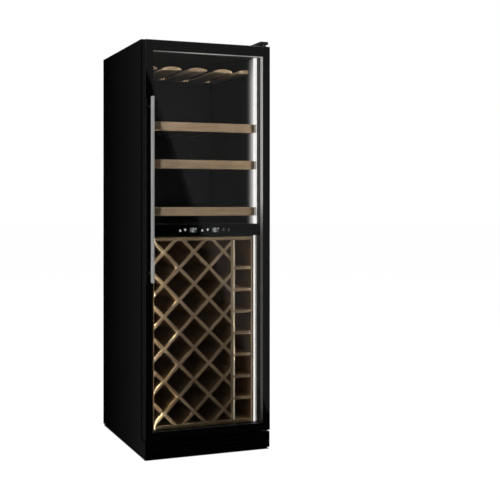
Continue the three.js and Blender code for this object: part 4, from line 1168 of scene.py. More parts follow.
@dataclass(frozen=True)
class GlossLacquer(Finish):
    """Stoved gloss paint on pressed steel or copper, smooth with slight runs."""

    colour: str = "#08080a"
    roughness: float = 0.2
    metal: float = 0.0
    shade: float = 0.8

    def dress(self, tree: NodeTree, shader: Node) -> None:
        """Even colour with a slow wave in the gloss.

        Args:
            tree: its tree.
            shader: its shader.
        """
        own = self.place(tree)
        waves = add(tree, "ShaderNodeTexNoise", {"Vector": own, "Scale": 30.0})
        tones = linear(self.colour), linear(self.colour, self.shade)
        self.vary(shader, waves, tones, (self.roughness, self.roughness + 0.08))
        feed(shader, {"Metallic": self.metal})


@dataclass(frozen=True)
class OpalLens(Finish):
    """Frosted acrylic over a row of diodes: an even warm white band with a hint of the diodes' pitch."""

    strength: float = 5.0
    pitch: float = 9.0
    ripple: float = 0.1

    def dress(self, tree: NodeTree, shader: Node) -> None:
        """Light that rises a little at each diode.

        Args:
            tree: its tree.
            shader: its shader.
        """
        own = add(tree, "ShaderNodeTexCoord").outputs["Object"]
        height = add(tree, "ShaderNodeSeparateXYZ", {"Vector": own}).outputs[2]
        turns = {0: height, 1: math.tau / (self.pitch * MM)}
        phase = add(tree, "ShaderNodeMath", turns, operation="MULTIPLY")
        wave = add(tree, "ShaderNodeMath", {0: phase}, operation="COSINE")
        low, high = self.strength * (1 - self.ripple), self.strength * (1 + self.ripple)
        span = {"From Min": -1.0, "From Max": 1.0, "To Min": low, "To Max": high}
        power = add(tree, "ShaderNodeMapRange", {"Value": wave, **span})
        feed(shader, {"Emission Color": linear(STRIP_WHITE), "Emission Strength": power})
        feed(shader, {"Base Color": linear("#3c3a37"), "Roughness": 0.5})


@dataclass(frozen=True)
class LitSymbol(Finish):
    """Printed symbols lit from behind, or the segments of a display."""

    colour: str = "#e8eef2"
    strength: float = 1.0
    patchy: Span = (0.85, 1.1)

    def dress(self, tree: NodeTree, shader: Node) -> None:
        """A pale glow, a little uneven as light through print is.

        Args:
            tree: its tree.
            shader: its shader.
        """
        own = self.place(tree)
        patch = add(tree, "ShaderNodeTexNoise", {"Vector": own, "Scale": 300.0})
        low, high = (self.strength * share for share in self.patchy)
        span = {**NOISE_SPAN, "To Min": low, "To Max": high}
        power = add(tree, "ShaderNodeMapRange", {"Value": patch, **span})
        feed(shader, {"Emission Color": linear(self.colour), "Emission Strength": power})
        feed(shader, {"Base Color": linear("#303234"), "Roughness": 0.3})


COAT = PowderCoat("Powder-coated steel")
FRAME_PLASTIC = MouldedPlastic("Door frame plastic", colour="#050505", roughness=0.2)
PANE = DoorGlass("Tinted door glass")
ENAMEL = FiredEnamel("Fired black enamel")
GLASS_EDGE = GroundGlassEdge("Ground glass edge")
LINER = LitLiner("Thermoformed liner", colour="#101010", roughness=0.55)
DARK_PLASTIC = MouldedPlastic("Moulded black plastic", colour="#141414", roughness=0.5)
DIVIDER_SKIN = MouldedPlastic("Divider skin", colour="#121212", roughness=0.5)
PANEL_GLASS = FiredEnamel("Black control glass", colour="#030304", roughness=0.06)
FOAM = RigidFoam("Rigid foam")
RUBBER = Rubber("Seal rubber")
ZINC = GalvanisedSteel("Galvanised steel")
# painted shade: the base pan's zinc is darkened, as it lies in the cabinet's shade and shows through the
# kick plate's slots
PAN_ZINC = GalvanisedSteel("Black passivated zinc", light="#2e3030", dark="#222424")
HANDLE_METAL = BrushedAluminium("Brushed handle aluminium", colour="#dcdcd9", metal=0.4)
POST_METAL = BrushedAluminium("Blackened post", colour="#2a2a2a", roughness=0.3)
SPACER_METAL = LitSpacer("Spacer bar aluminium", colour="#4c4c4b", roughness=0.42)
WIRE_COAT = PowderCoat("Coated shelf wire", colour="#0b0b0c", roughness=0.4)
LACQUER = GlossLacquer("Compressor lacquer")
COPPER = GlossLacquer("Copper tube", colour="#b87352", roughness=0.28, metal=1.0)
FIN_METAL = GlossLacquer("Painted condenser fin", colour="#17181a", roughness=0.4)
UPPER_LENS = OpalLens("Opal lens, upper zone", strength=2.2)
LOWER_LENS = OpalLens("Opal lens, lower zone", strength=2.0)
# the lips are no lamps: their glow is painted light in place of what the lens throws on them, and beside a
# shelf it is painted shade
UPPER_LIP_PAINTED_GLOW = OpalLens("Opal lip, upper zone", strength=2.0)
LOWER_LIP_PAINTED_GLOW = OpalLens("Opal lip, lower zone", strength=0.3)
LIP_PAINTED_SHADE = OpalLens("Opal lip beside a shelf", strength=0.35)
SYMBOL = LitSymbol("Lit symbol", strength=1.6)
DIM_SYMBOL = LitSymbol("Dim symbol", strength=0.4)
WINDOW = LitSymbol("Display window", strength=0.05)
PANEL_RIM = MouldedPlastic("Panel rim", colour="#6a6a69", roughness=0.35)
WOOD_ACROSS = Beech("Beech, grain across")
# the rails get painted shade on their downward faces
WOOD_DEEP = Beech("Beech, grain front to back", grain=Grain.DEEP, underside_shade=0.42)
WOOD_UPRIGHT = Beech("Beech, grain upright", grain=Grain.UPRIGHT)
WOOD_COLUMN = LitBeech("Beech beside the light strip", grain=Grain.UPRIGHT)
WOOD_RISING = Beech("Beech, rising lattice", grain=Grain.RISING)
WOOD_FALLING = Beech("Beech, falling lattice", grain=Grain.FALLING)


# ---- sub-assemblies


@dataclass
class Screw:
    """A domed screw head with a cross recess, that faces backwards."""

    radius: float = 4.2
    height: float = 1.6
    dome: float = 0.92
    dome_steps: int = 5
    recess: Span = (0.55, 0.16)
    recess_depth: float = 0.2
    recess_top: float = 1.02

    def shape(self) -> Shape:
        """The head round its own origin; its recess's arms and top are shares of it.

        Returns:
            The shape.
        """
        profile = [(0.0, 0.0), (self.radius, 0.0)]
        for n in range(1, self.dome_steps):
            a = math.pi / 2 * n / self.dome_steps
            profile.append((self.radius * math.cos(a) * self.dome, self.height * math.sin(a)))
        profile.append((0.0, self.height))
        head = Shape().lathe(profile, (0, 0, 0), Axis.Y, sides=20)
        reach, width = (self.radius * share for share in self.recess)
        top = self.height * self.recess_top
        for long, wide in ((reach, width), (width, reach)):
            head.box((-long, top - self.recess_depth, -wide), (long, top, wide))
        return head


@dataclass
class Cabinet:
    """The steel case with its rear panel, base, kick plate and feet."""

    rows: RowPattern
    screw: Screw = field(default_factory=Screw)
    screw_inset: float = 8.5
    screw_first: float = 60.0
    screw_pitch: float = 216.0
    screws_up: int = 9
    screws_across: int = 4
    top_inset: float = 9.0

    def build(self) -> None:
        """Screws round the edge of the rear panel."""
        panel = box_of("rear_panel")[1]
        edge = panel.x - self.screw_inset
        made = []
        for side in (-1, 1):
            start, step = (side * edge, panel.y, self.screw_first), (0, 0, self.screw_pitch)
            made.append(self._row(self.screws_up, start, step))
        span = 2 * edge / (self.screws_across + 1)
        start = (span - edge, panel.y, panel.z - self.top_inset)
        made.append(self._row(self.screws_across, start, (span, 0, 0)))
        seat(merge("rear_panel_screws", made), "cabinet")

    def _row(self, count: int, start: Point, step: Point) -> Object:
        """A row of the panel's screws."""
        return self.rows.row(self.screw.shape(), "screws", count, start, step, ZINC)

    def dress(self, nodes: Nodes) -> None:
        """Finish the case, the base and what stands on the floor.

        Args:
            nodes: the frame's nodes.
        """
        dress(nodes, ["outer_case", "rear_panel", "kick_plate"], COAT)
        dress(nodes, ["insulation"], FOAM)
        dress(nodes, ["inner_liner"], LINER)
        dress(nodes, ["base_pan"], PAN_ZINC)
        dress(nodes, ["front_foot_left", "front_foot_right"], RUBBER)
        dress(nodes, ["mains_inlet"], DARK_PLASTIC)


@dataclass
class Door:
    """The glass door: two panes held apart by a spacer bar in a moulded frame, seal and handle.

    The enamel border reaches half a millimetre past the spacer bar and so covers it. The posts' flange
    is given as distances out from the post and before the door's face.
    """

    border_reach: float = 8.5
    edge_round: float = 1.0
    handle_shift: float = -0.3
    handle_width: float = 10.0
    handle_depth: float = 20.0
    handle_round: float = 1.2
    post_inset: float = 40.0
    post_radius: float = 4.5
    post_root: float = 2.0
    flange: Stops = ((0.0, 4.0), (0.8, 3.0), (3.0, 2.6), (3.0, 0.6), (2.6, 0.3))

    def build(self) -> None:
        """Make the outer pane with its enamel border, and the handle."""
        self._outer_pane()
        self._handle()

    def _outer_pane(self) -> None:
        """The outer pane: clear in the middle, enamelled round it, with a ground edge."""
        low, high = box_of("outer_glass")
        inside, outside = box_of("glass_spacer")
        reach = self.border_reach
        part = bmesh.new()
        xs = [low.x, inside.x + reach, outside.x - reach, high.x]
        zs = [low.z, inside.z + reach, outside.z - reach, high.z]
        inset = self.edge_round
        pulls = (inset, 0.0, 0.0, -inset)
        grid: dict[tuple[int, int, int], BMVert] = {}
        for side, y in enumerate((low.y, high.y)):
            for i, x in enumerate(xs):
                for j, z in enumerate(zs):
                    grid[side, i, j] = part.verts.new((x + pulls[i], y, z + pulls[j]))
        for side in (0, 1):
            for i in range(3):
                for j in range(3):
                    corners = [(i, j), (i + 1, j), (i + 1, j + 1), (i, j + 1)]
                    face = part.faces.new([grid[side, a, b] for a, b in corners])
                    face.material_index = 0 if i == j == 1 else 1
        rim = [(i, 0) for i in range(4)] + [(3, j) for j in range(1, 4)]
        rim += [(i, 3) for i in range(2, -1, -1)] + [(0, j) for j in range(2, 0, -1)]
        rings: list[list[BMVert]] = [[grid[0, a, b] for a, b in rim]]
        for y in (low.y + inset, high.y - inset):
            rings.append([part.verts.new((xs[a], y, zs[b])) for a, b in rim])
        rings.append([grid[1, a, b] for a, b in rim])
        for before, after in zip(rings, rings[1:]):
            for n in range(len(rim)):
                m = (n + 1) % len(rim)
                face = part.faces.new((before[n], before[m], after[m], after[n]))
                face.material_index = 2
        bmesh.ops.recalc_face_normals(part, faces=part.faces[:])
        pane = Shape().take(part, slot=None).object("outer_pane", [PANE, ENAMEL, GLASS_EDGE])
        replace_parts(seat(pane, "door"), "outer_glass")

    def _handle(self) -> None:
        """A square brushed bar on two turned posts."""
        low, high = box_of("handle")
        middle = (low.x + high.x) / 2 + self.handle_shift
        half = self.handle_width / 2
        back = low.y + self.handle_depth
        shape = Shape().box(
            (middle - half, low.y, low.z), (middle + half, back, high.z), self.handle_round, steps=3
        )
        reach = -back
        profile = [(0.0, -self.post_root), (self.post_radius, -self.post_root)]
        profile += [(self.post_radius + out, reach - before) for out, before in self.flange]
        profile.append((0.0, profile[-1][1]))
        for height in (low.z + self.post_inset, high.z - self.post_inset):
            shape.lathe(profile, (middle, back, height), Axis.Y, sides=28, slot=1)
        handle = shape.object("handle_bar", [HANDLE_METAL, POST_METAL])
        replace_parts(seat(handle, "door"), "handle")

    def dress(self, nodes: Nodes) -> None:
        """Finish the frame, the inner pane, the spacer and the seal.

        Args:
            nodes: the frame's nodes.
        """
        dress(nodes, ["door_frame"], FRAME_PLASTIC)
        dress(nodes, ["inner_glass"], PANE)
        dress(nodes, ["glass_spacer"], SPACER_METAL)
        dress(nodes, ["door_gasket"], RUBBER)


@dataclass
class Hinges:
    """The bracket and cover above the door and the bracket below it."""

    def dress(self, nodes: Nodes) -> None:
        """Finish the brackets and the cover."""
        dress(nodes, ["top_hinge", "bottom_hinge"], ZINC)
        dress(nodes, ["hinge_cover"], DARK_PLASTIC)


@dataclass
class LightStrips:
    """Four light strips at the front edges of the side walls: an opal lens behind a dimmer lip.

    The lip's glow is painted light, as the lip is no lamp, and beside a shelf's front it is painted shade,
    a dimmer glow. The lens bulges a little into the zone, tapers to its ends and is closed by a cap at the
    top and the bottom.
    """

    lip_front: float = 58.5
    lip_back: float = 71.2
    lip_round: float = 0.5
    shade_film: float = 0.2
    lens_front: float = 73.4
    lens_back: float = 91.5
    lens_gap: float = 0.1
    bulge: float = 0.3
    taper: float = 6.0
    cap: float = 1.0
    shelves: int = 3

    def build(self) -> None:
        """Make each strip in the place of its node."""
        zones = {"upper": (UPPER_LENS, UPPER_LIP_PAINTED_GLOW), "lower": (LOWER_LENS, LOWER_LIP_PAINTED_GLOW)}
        for zone, finishes in zones.items():
            for side in ("left", "right"):
                name = f"{zone}_{side}_light"
                shape = self._strip(*box_of(name))
                strip = shape.object(f"{name}_strip", [*finishes, LIP_PAINTED_SHADE])
                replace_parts(seat(strip, "cabinet"), name)

    def _strip(self, low: Vector, high: Vector) -> Shape:
        """The shape of a strip.

        Args:
            low: the lowest corner of its node.
            high: the highest corner.

        Returns:
            The shape, with the lens, the lip's painted glow and the lip's painted shade as its finishes.
        """
        bottom, top = low.z, high.z
        side = 1 if high.x > 0 else -1
        wall, face = (high.x, low.x) if side > 0 else (low.x, high.x)
        front, back = self.lip_front, self.lip_back
        shape = Shape().box((low.x, front, bottom), (high.x, back, top), self.lip_round, slot=1)
        left, right = sorted((face, face - side * self.shade_film))
        # painted shade: a dimmer lip beside each shelf's front
        for number in range(1, self.shelves + 1):
            under, over = (corner.z for corner in box_of(f"shelf_front_{number}"))
            if bottom < over < top:
                shape.box((left, front, under), (right, back, over), slot=2)
        bulge = face - side * self.bulge
        outline = [
            (wall, self.lens_front + self.lens_gap),
            (face, self.lens_front + self.lens_gap),
            (bulge, self.lens_front + self.taper),
            (bulge, self.lens_back - self.taper),
            (face, self.lens_back),
            (wall, self.lens_back),
        ]
        shape.prism(outline, bottom + self.cap, top - self.cap, Axis.Z)
        for z in (bottom, top - self.cap):
            ends = (low.x, self.lens_front, z), (high.x, self.lens_back, z + self.cap)
            shape.box(*ends, slot=1)
        return shape


class Symbol(Enum):
    """A sign on the control panel."""

    UP = "up"
    DOWN = "down"
    POWER = "power"
    LAMP = "lamp"


@dataclass
class ControlPanel:
    """The black glass panel on the divider, with touch signs and two displays.

    Signs and displays are given by their distance from the panel's middle; the first height is that of
    their middle line. The degree ring lies a share of the digits' pitch beyond the middle and a little
    below their top.
    """

    height: float = 996.0
    rounding: float = 2.5
    rim_inset: float = 3.0
    rim_front: float = 0.6
    rim_back: float = 5.0
    rim_height: float = 2.4
    rim_round: float = 0.5
    relief: float = 0.25
    arrow: float = 6.0
    arrow_rise: float = 0.95
    key_stroke: float = 1.6
    power_radius: float = 5.5
    power_gap: float = 0.2
    power_bar: float = 4.0
    bulb_radius: float = 4.5
    bulb_rise: float = 1.0
    bulb_foot: float = 5.0
    foot_drop: float = -6.0
    window: Span = (36.0, 22.0)
    window_lift: float = 0.1
    digit_width: float = 9.5
    digit_height: float = 16.0
    digit_pitch: float = 13.5
    stroke: float = 2.2
    degree_place: Span = (0.95, 2.0)
    degree_radius: float = 3.0
    degree_stroke: float = 1.4
    ring_steps: int = 20
    signs: tuple[tuple[Symbol, float], ...] = (
        (Symbol.UP, -112.0),
        (Symbol.DOWN, -88.0),
        (Symbol.UP, -6.0),
        (Symbol.DOWN, 21.0),
        (Symbol.POWER, 98.0),
        (Symbol.LAMP, 124.0),
    )
    displays: tuple[tuple[str, float], ...] = (("12", -50.0), ("16", 58.0))
    segments: dict[str, str] = field(
        default_factory=lambda: {"1": "bc", "2": "abged", "6": "acdefg"}
    )

    @property
    def face(self) -> float:
        """The front of the panel."""
        return box_of("control_panel")[0].y

    def build(self) -> None:
        """Make the bevelled panel and its signs."""
        low, high = box_of("control_panel")
        inset = self.rim_inset
        shape = Shape().box(low, high, self.rounding, steps=4).box(
            (low.x + inset, low.y + self.rim_front, high.z - self.rim_height),
            (high.x - inset, low.y + self.rim_back, high.z),
            self.rim_round,
            slot=1,
        )
        panel = shape.object("control_glass", [PANEL_GLASS, PANEL_RIM])
        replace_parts(seat(panel, "cabinet"), "control_panel")
        bright, dim, window = Shape(), Shape(), Shape()
        for sign, x in self.signs:
            if sign in (Symbol.UP, Symbol.DOWN):
                self._arrow(bright, x, 1 if sign is Symbol.UP else -1)
            elif sign is Symbol.POWER:
                radius = self.power_radius
                self._ring(dim, x, 0.0, radius, self.key_stroke, gap=self.power_gap)
                self._bar(dim, x, self.power_bar, self.key_stroke, radius)
            else:
                self._ring(dim, x, self.bulb_rise, self.bulb_radius, self.key_stroke)
                self._bar(dim, x, self.foot_drop, self.bulb_foot, self.key_stroke)
        for text, x in self.displays:
            self._display(bright, text, x)
            self._bar(window, x, 0.0, *self.window, lift=self.window_lift)
        seat(bright.object("panel_signs", [SYMBOL]), "cabinet")
        seat(dim.object("panel_key_signs", [DIM_SYMBOL]), "cabinet")
        seat(window.object("display_windows", [WINDOW]), "cabinet")

    def _plate(self, shape: Shape, outline: Outline, lift: float = 0.25) -> None:
        """Add a thin plate that stands out of the panel's face by a lift."""
        shape.prism(outline, self.face - lift, self.face + self.relief)

    def _bar(
        self, shape: Shape, x: float, z: float, width: float, rise: float, lift: float = 0.25
    ) -> None:
        """Add an upright plate.

        Args:
            shape: the shape to add to.
            x: its middle.
            z: its middle above the middle of the panel.
            width: its width.
            rise: its height.
            lift: how far it stands out.
        """
        left, right = x - width / 2, x + width / 2
        low, high = self.height + z - rise / 2, self.height + z + rise / 2
        self._plate(shape, [(left, low), (right, low), (right, high), (left, high)], lift)

    def _arrow(self, shape: Shape, x: float, way: int) -> None:
        """Add a triangle that points up or down.

        Args:
            shape: the shape to add to.
            x: its middle.
            way: 1 for up and -1 for down.
        """
        half, rise = self.arrow, self.arrow * self.arrow_rise * way
        z = self.height
        self._plate(shape, [(x - half, z - rise), (x + half, z - rise), (x, z + rise)])

    def _ring(
        self, shape: Shape, x: float, z: float, radius: float, width: float, gap: float = 0.0
    ) -> None:
        """Add a ring, open at the top by a share of a turn.

        Args:
            shape: the shape to add to.
            x: its middle.
            z: its middle above the middle of the panel.
            radius: its outer radius.
            width: the width of its stroke.
            gap: the open share of the turn.
        """
        steps = self.ring_steps
        start = math.pi / 2 + gap * math.pi
        sweep = math.tau * (1 - gap)
        for n in range(steps):
            a, b = (start + sweep * k / steps for k in (n, n + 1))
            spots = ((radius, a), (radius, b), (radius - width, b), (radius - width, a))
            outline = [(x + r * math.cos(t), self.height + z + r * math.sin(t)) for r, t in spots]
            self._plate(shape, outline)

    def _display(self, shape: Shape, text: str, x: float) -> None:
        """Add a number in seven-segment digits with a degree ring.

        Args:
            shape: the shape to add to.
            text: the digits.
            x: the middle of the display.
        """
        wide, high, stroke = self.digit_width, self.digit_height, self.stroke
        level = {"a": high / 2, "g": 0.0, "d": -high / 2}
        upright = {"b": (1, 1), "c": (1, -1), "e": (-1, -1), "f": (-1, 1)}
        for n, digit in enumerate(text):
            middle = x + (n - len(text) / 2) * self.digit_pitch
            for name in self.segments[digit]:
                if name in level:
                    self._bar(shape, middle, level[name], wide, stroke)
                else:
                    side, half = upright[name]
                    across = middle + side * (wide - stroke) / 2
                    self._bar(shape, across, half * high / 4, stroke, high / 2 - stroke)
        share, drop = self.degree_place
        across = x + self.digit_pitch * share
        self._ring(shape, across, high / 2 - drop, self.degree_radius, self.degree_stroke)

    def dress(self, nodes: Nodes) -> None:
        """Finish the divider that carries the panel."""
        dress(nodes, ["zone_divider"], DIVIDER_SKIN)


@dataclass
class Shelves:
    """Three sliding shelves: a wooden front and a wire rack with bottle cradles."""

    cradles: CradlePattern
    count: int = 3
    rounding: float = 3.2
    side_wire: float = 3.0
    corner: float = 9.0
    corner_steps: int = 4
    rails: Span = (0.3, 0.7)
    wire: float = 2.0
    bottles: int = 5
    wires: int = 7
    end_gap: float = 26.0
    points: int = 81
    dip: float = 9.0

    def build(self) -> None:
        """Make each shelf in the place of its nodes."""
        for number in range(1, self.count + 1):
            self._front(number)
            self._rack(number)

    def _front(self, number: int) -> None:
        """The board at the front, with rounded edges.

        Args:
            number: the shelf's number, from the top.
        """
        shape = Shape().box(*box_of(f"shelf_front_{number}"), self.rounding, steps=3)
        board = shape.object(f"shelf_board_{number}", [WOOD_ACROSS])
        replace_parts(seat(board, f"shelf_{number}"), f"shelf_front_{number}")

    def _frame(self, low: Vector, high: Vector) -> Shape:
        """The wire round the shelf's sides and back, and the rails under the wavy wires.

        Args:
            low: the lowest corner of the rack.
            high: its highest corner.

        Returns:
            The shape.
        """
        r, corner = self.side_wire, self.corner
        level = high.z - self.wire / 2 - r
        left, back = low.x + r, high.y - corner
        path = [(left, low.y, level), (left, back, level)]
        for n in range(1, self.corner_steps + 1):
            a = math.pi / 2 * n / self.corner_steps
            x, y = corner * (1 - math.cos(a)), corner * math.sin(a)
            path.append((left + x, back - r + y, level))
        mirrored = [(low.x + high.x - x, y, z) for x, y, z in reversed(path)]
        frame = Shape().tube(path + mirrored, r, sides=12)
        drop = high.z - self.dip - self.wire * 2
        for share in self.rails:
            x = low.x + (high.x - low.x) * share
            frame.tube([(x, low.y, drop), (x, high.y - 2 * r, drop)], self.wire, sides=8)
        return frame

    def _rack(self, number: int) -> None:
        """The frame of straight wires, and the wavy wires across it.

        Args:
            number: the shelf's number, from the top.
        """
        low, high = box_of(f"shelf_rack_{number}")
        outer = self._frame(low, high).object("frame wires", [WIRE_COAT])
        seed = Shape().box((0, 0, 0), (1, 1, 1)).object("cradle wires", [WIRE_COAT])
        first = (low.x + self.side_wire, low.y + self.end_gap + DOOR_FACE, high.z - self.wire)
        sizes = {
            "Start": Vector(first) * MM,
            "Width": (high.x - low.x - 2 * self.side_wire) * MM,
            "Dip": self.dip * MM,
            "Bottles": float(self.bottles),
            "Points": self.points,
            "Wire Radius": self.wire * MM,
            "Wires": self.wires,
            "Spacing": (high.y - low.y - 2 * self.end_gap) / (self.wires - 1) * MM,
            "Finish": WIRE_COAT.material(),
        }
        rack = merge(f"shelf_wires_{number}", [outer, self.cradles.apply(seed, sizes)])
        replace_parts(seat(rack, f"shelf_{number}"), f"shelf_rack_{number}")


@dataclass
class StemwareRack:
    """The rack that glasses hang from: arched rails that run forward from a board."""

    rows: RowPattern
    rail_width: float = 88.0
    edge: float = 9.0
    pitch: float = 125.5
    count: int = 3
    side_reach: float = 56.0
    tongue: float = 2.0
    board: float = 20.0
    board_height: float = 15.0
    arch_steps: int = 26
    rounding: float = 1.6

    def _section(self, left: float, right: float, centre: float) -> Outline:
        """The outline of a rail: flat below and arched above.

        Args:
            left: its left side.
            right: its right side.
            centre: the middle of its arch.

        Returns:
            Corners as (x, z).
        """
        low, high = box_of("stemware_rack")
        half = self.rail_width / 2
        rise = high.z - low.z - self.edge
        radius = (half**2 + rise**2) / (2 * rise)
        points = [(left, low.z), (right, low.z)]
        for n in range(self.arch_steps + 1):
            x = right + (left - right) * n / self.arch_steps
            reach = min(abs(x - centre), half)
            points.append((x, high.z - radius + math.sqrt(radius**2 - reach**2)))
        return points

    def build(self) -> None:
        """Make the rails and the board as one wooden piece."""
        low, high = box_of("stemware_rack")
        half = self.rail_width / 2
        back = high.y - self.board
        run = (low.y, back + self.tongue)
        rail = Shape().prism(self._section(-half, half, 0.0), *run, rounding=self.rounding)
        start, step = (-self.pitch, 0.0, 0.0), (self.pitch, 0.0, 0.0)
        rails = self.rows.row(rail, "rails", self.count, start, step, WOOD_DEEP)
        rest = Shape()
        inner = high.x - self.side_reach
        for side in (-1, 1):
            left, right = sorted((side * inner, side * high.x))
            section = self._section(left, right, side * (inner + half))
            rest.prism(section, *run, rounding=self.rounding)
        front, top = (low.x, back, low.z), (high.x, high.y, low.z + self.board_height)
        rest.box(front, top, self.rounding, slot=1)
        sides = rest.object("side rails", [WOOD_DEEP, WOOD_ACROSS])
        rack = merge("glass_rack", [rails, sides])
        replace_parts(seat(rack, "cabinet"), "stemware_rack")


class Slope(Enum):
    """The way a lattice board runs, with the direction square to it as (x, z)."""

    RISING = (-1.0, 1.0)
    FALLING = (1.0, 1.0)


def clip(outline: Outline, way: Span, limit: float) -> Outline:
    """Cut an outline off along a line.

    Args:
        outline: corners of a convex outline.
        way: the direction square to the line.
        limit: how far along that direction the line lies; what is nearer stays.

    Returns:
        Corners of what stays.
    """
    kept = []
    for before, here in zip([outline[-1], *outline[:-1]] if outline else [], outline):
        a, b = (spot[0] * way[0] + spot[1] * way[1] - limit for spot in (before, here))
        if (a <= 0) != (b <= 0):
            t = a / (a - b)
            kept.append(tuple(p + (q - p) * t for p, q in zip(before, here)))
        if b <= 0:
            kept.append(here)
    return kept


@dataclass
class BottleRack:
    """The rack of the lower zone: half-lapped diagonal boards in a frame, and a bottle column."""

    boards: int = 8
    thickness: float = 14.3
    lap_gap: float = 0.3
    seat_gap: float = 0.3

    def build(self, nodes: Nodes) -> None:
        """Make the lattice boards: full in one half of their depth and lapped in the other.

        Args:
            nodes: the frame's nodes.
        """
        bay = self._bay()
        reach = self.thickness / math.sqrt(2)
        gap = reach + self.lap_gap * math.sqrt(2)
        lines = {slope: self._lines(nodes, slope) for slope in Slope}
        for slope, finish in ((Slope.RISING, WOOD_RISING), (Slope.FALLING, WOOD_FALLING)):
            other = Slope.FALLING if slope is Slope.RISING else Slope.RISING
            crossings = [-math.inf, *sorted(lines[other]), math.inf]
            for n, line in enumerate(lines[slope], 1):
                name = f"{slope.name.lower()}_{n}"
                front, back = (corner.y for corner in box_of(f"lattice_{name}"))
                halves = [(front, (front + back) / 2), ((front + back) / 2, back)]
                if slope is Slope.FALLING:
                    halves.reverse()
                band = self._between(bay, slope, line - reach, line + reach)
                shape = Shape().prism(band, *halves[0])
                for below, above in zip(crossings, crossings[1:]):
                    piece = self._between(band, other, below + gap, above - gap)
                    if len(piece) > 2:
                        shape.prism(piece, *halves[1])
                board = shape.object(f"board_{name}", [finish])
                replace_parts(seat(board, "cabinet"), f"lattice_{name}")

    def _bay(self) -> Outline:
        """The bay inside the frame of the rack, as corners.

        Returns:
            Corners as (x, z).
        """
        left = box_of("rack_left_board")[1].x + self.seat_gap
        right = box_of("bottle_column")[0].x - self.seat_gap
        bottom = box_of("rack_bottom_board")[1].z + self.seat_gap
        top = box_of("rack_top_board")[0].z - self.seat_gap
        return [(left, bottom), (right, bottom), (right, top), (left, top)]

    def _lines(self, nodes: Nodes, slope: Slope) -> list[float]:
        """The middle line of each board of a slope, as its distance along the slope's square.

        Args:
            nodes: the frame's nodes.
            slope: the way the boards run.

        Returns:
            Distances in mm.
        """
        found = []
        for n in range(1, self.boards + 1):
            node = nodes[f"lattice_{slope.name.lower()}_{n}"]
            spots = [node.matrix_world @ vertex.co for vertex in node.data.vertices]
            reaches = [p.x * slope.value[0] + p.z * slope.value[1] for p in spots]
            found.append((min(reaches) + max(reaches)) / 2 / MM)
        return found

    def _between(self, outline: Outline, slope: Slope, low: float, high: float) -> Outline:
        """The part of an outline between two lines of a slope.

        Args:
            outline: the outline.
            slope: the way the lines run.
            low: the nearer line.
            high: the further line.

        Returns:
            Corners of the part.
        """
        across = slope.value
        cut = clip(outline, across, high) if high < math.inf else outline
        return clip(cut, (-across[0], -across[1]), -low) if low > -math.inf else cut

    def dress(self, nodes: Nodes) -> None:
        """Let the grain follow each board of the frame.

        Args:
            nodes: the frame's nodes.
        """
        dress(nodes, ["rack_top_board", "rack_bottom_board"], WOOD_ACROSS)
        dress(nodes, ["rack_left_board", "rack_right_board"], WOOD_UPRIGHT)
        dress(nodes, ["bottle_column"], WOOD_COLUMN)


@dataclass
class AirDucts:
    """The covers of the two air ducts, and the fans."""

    def dress(self, nodes: Nodes) -> None:
        """Finish the covers and the rotors."""
        dress(nodes, ["upper_duct_cover", "lower_duct_cover"], LINER)
        dress(nodes, ["upper_fan", "lower_fan", "condenser_fan"], DARK_PLASTIC)


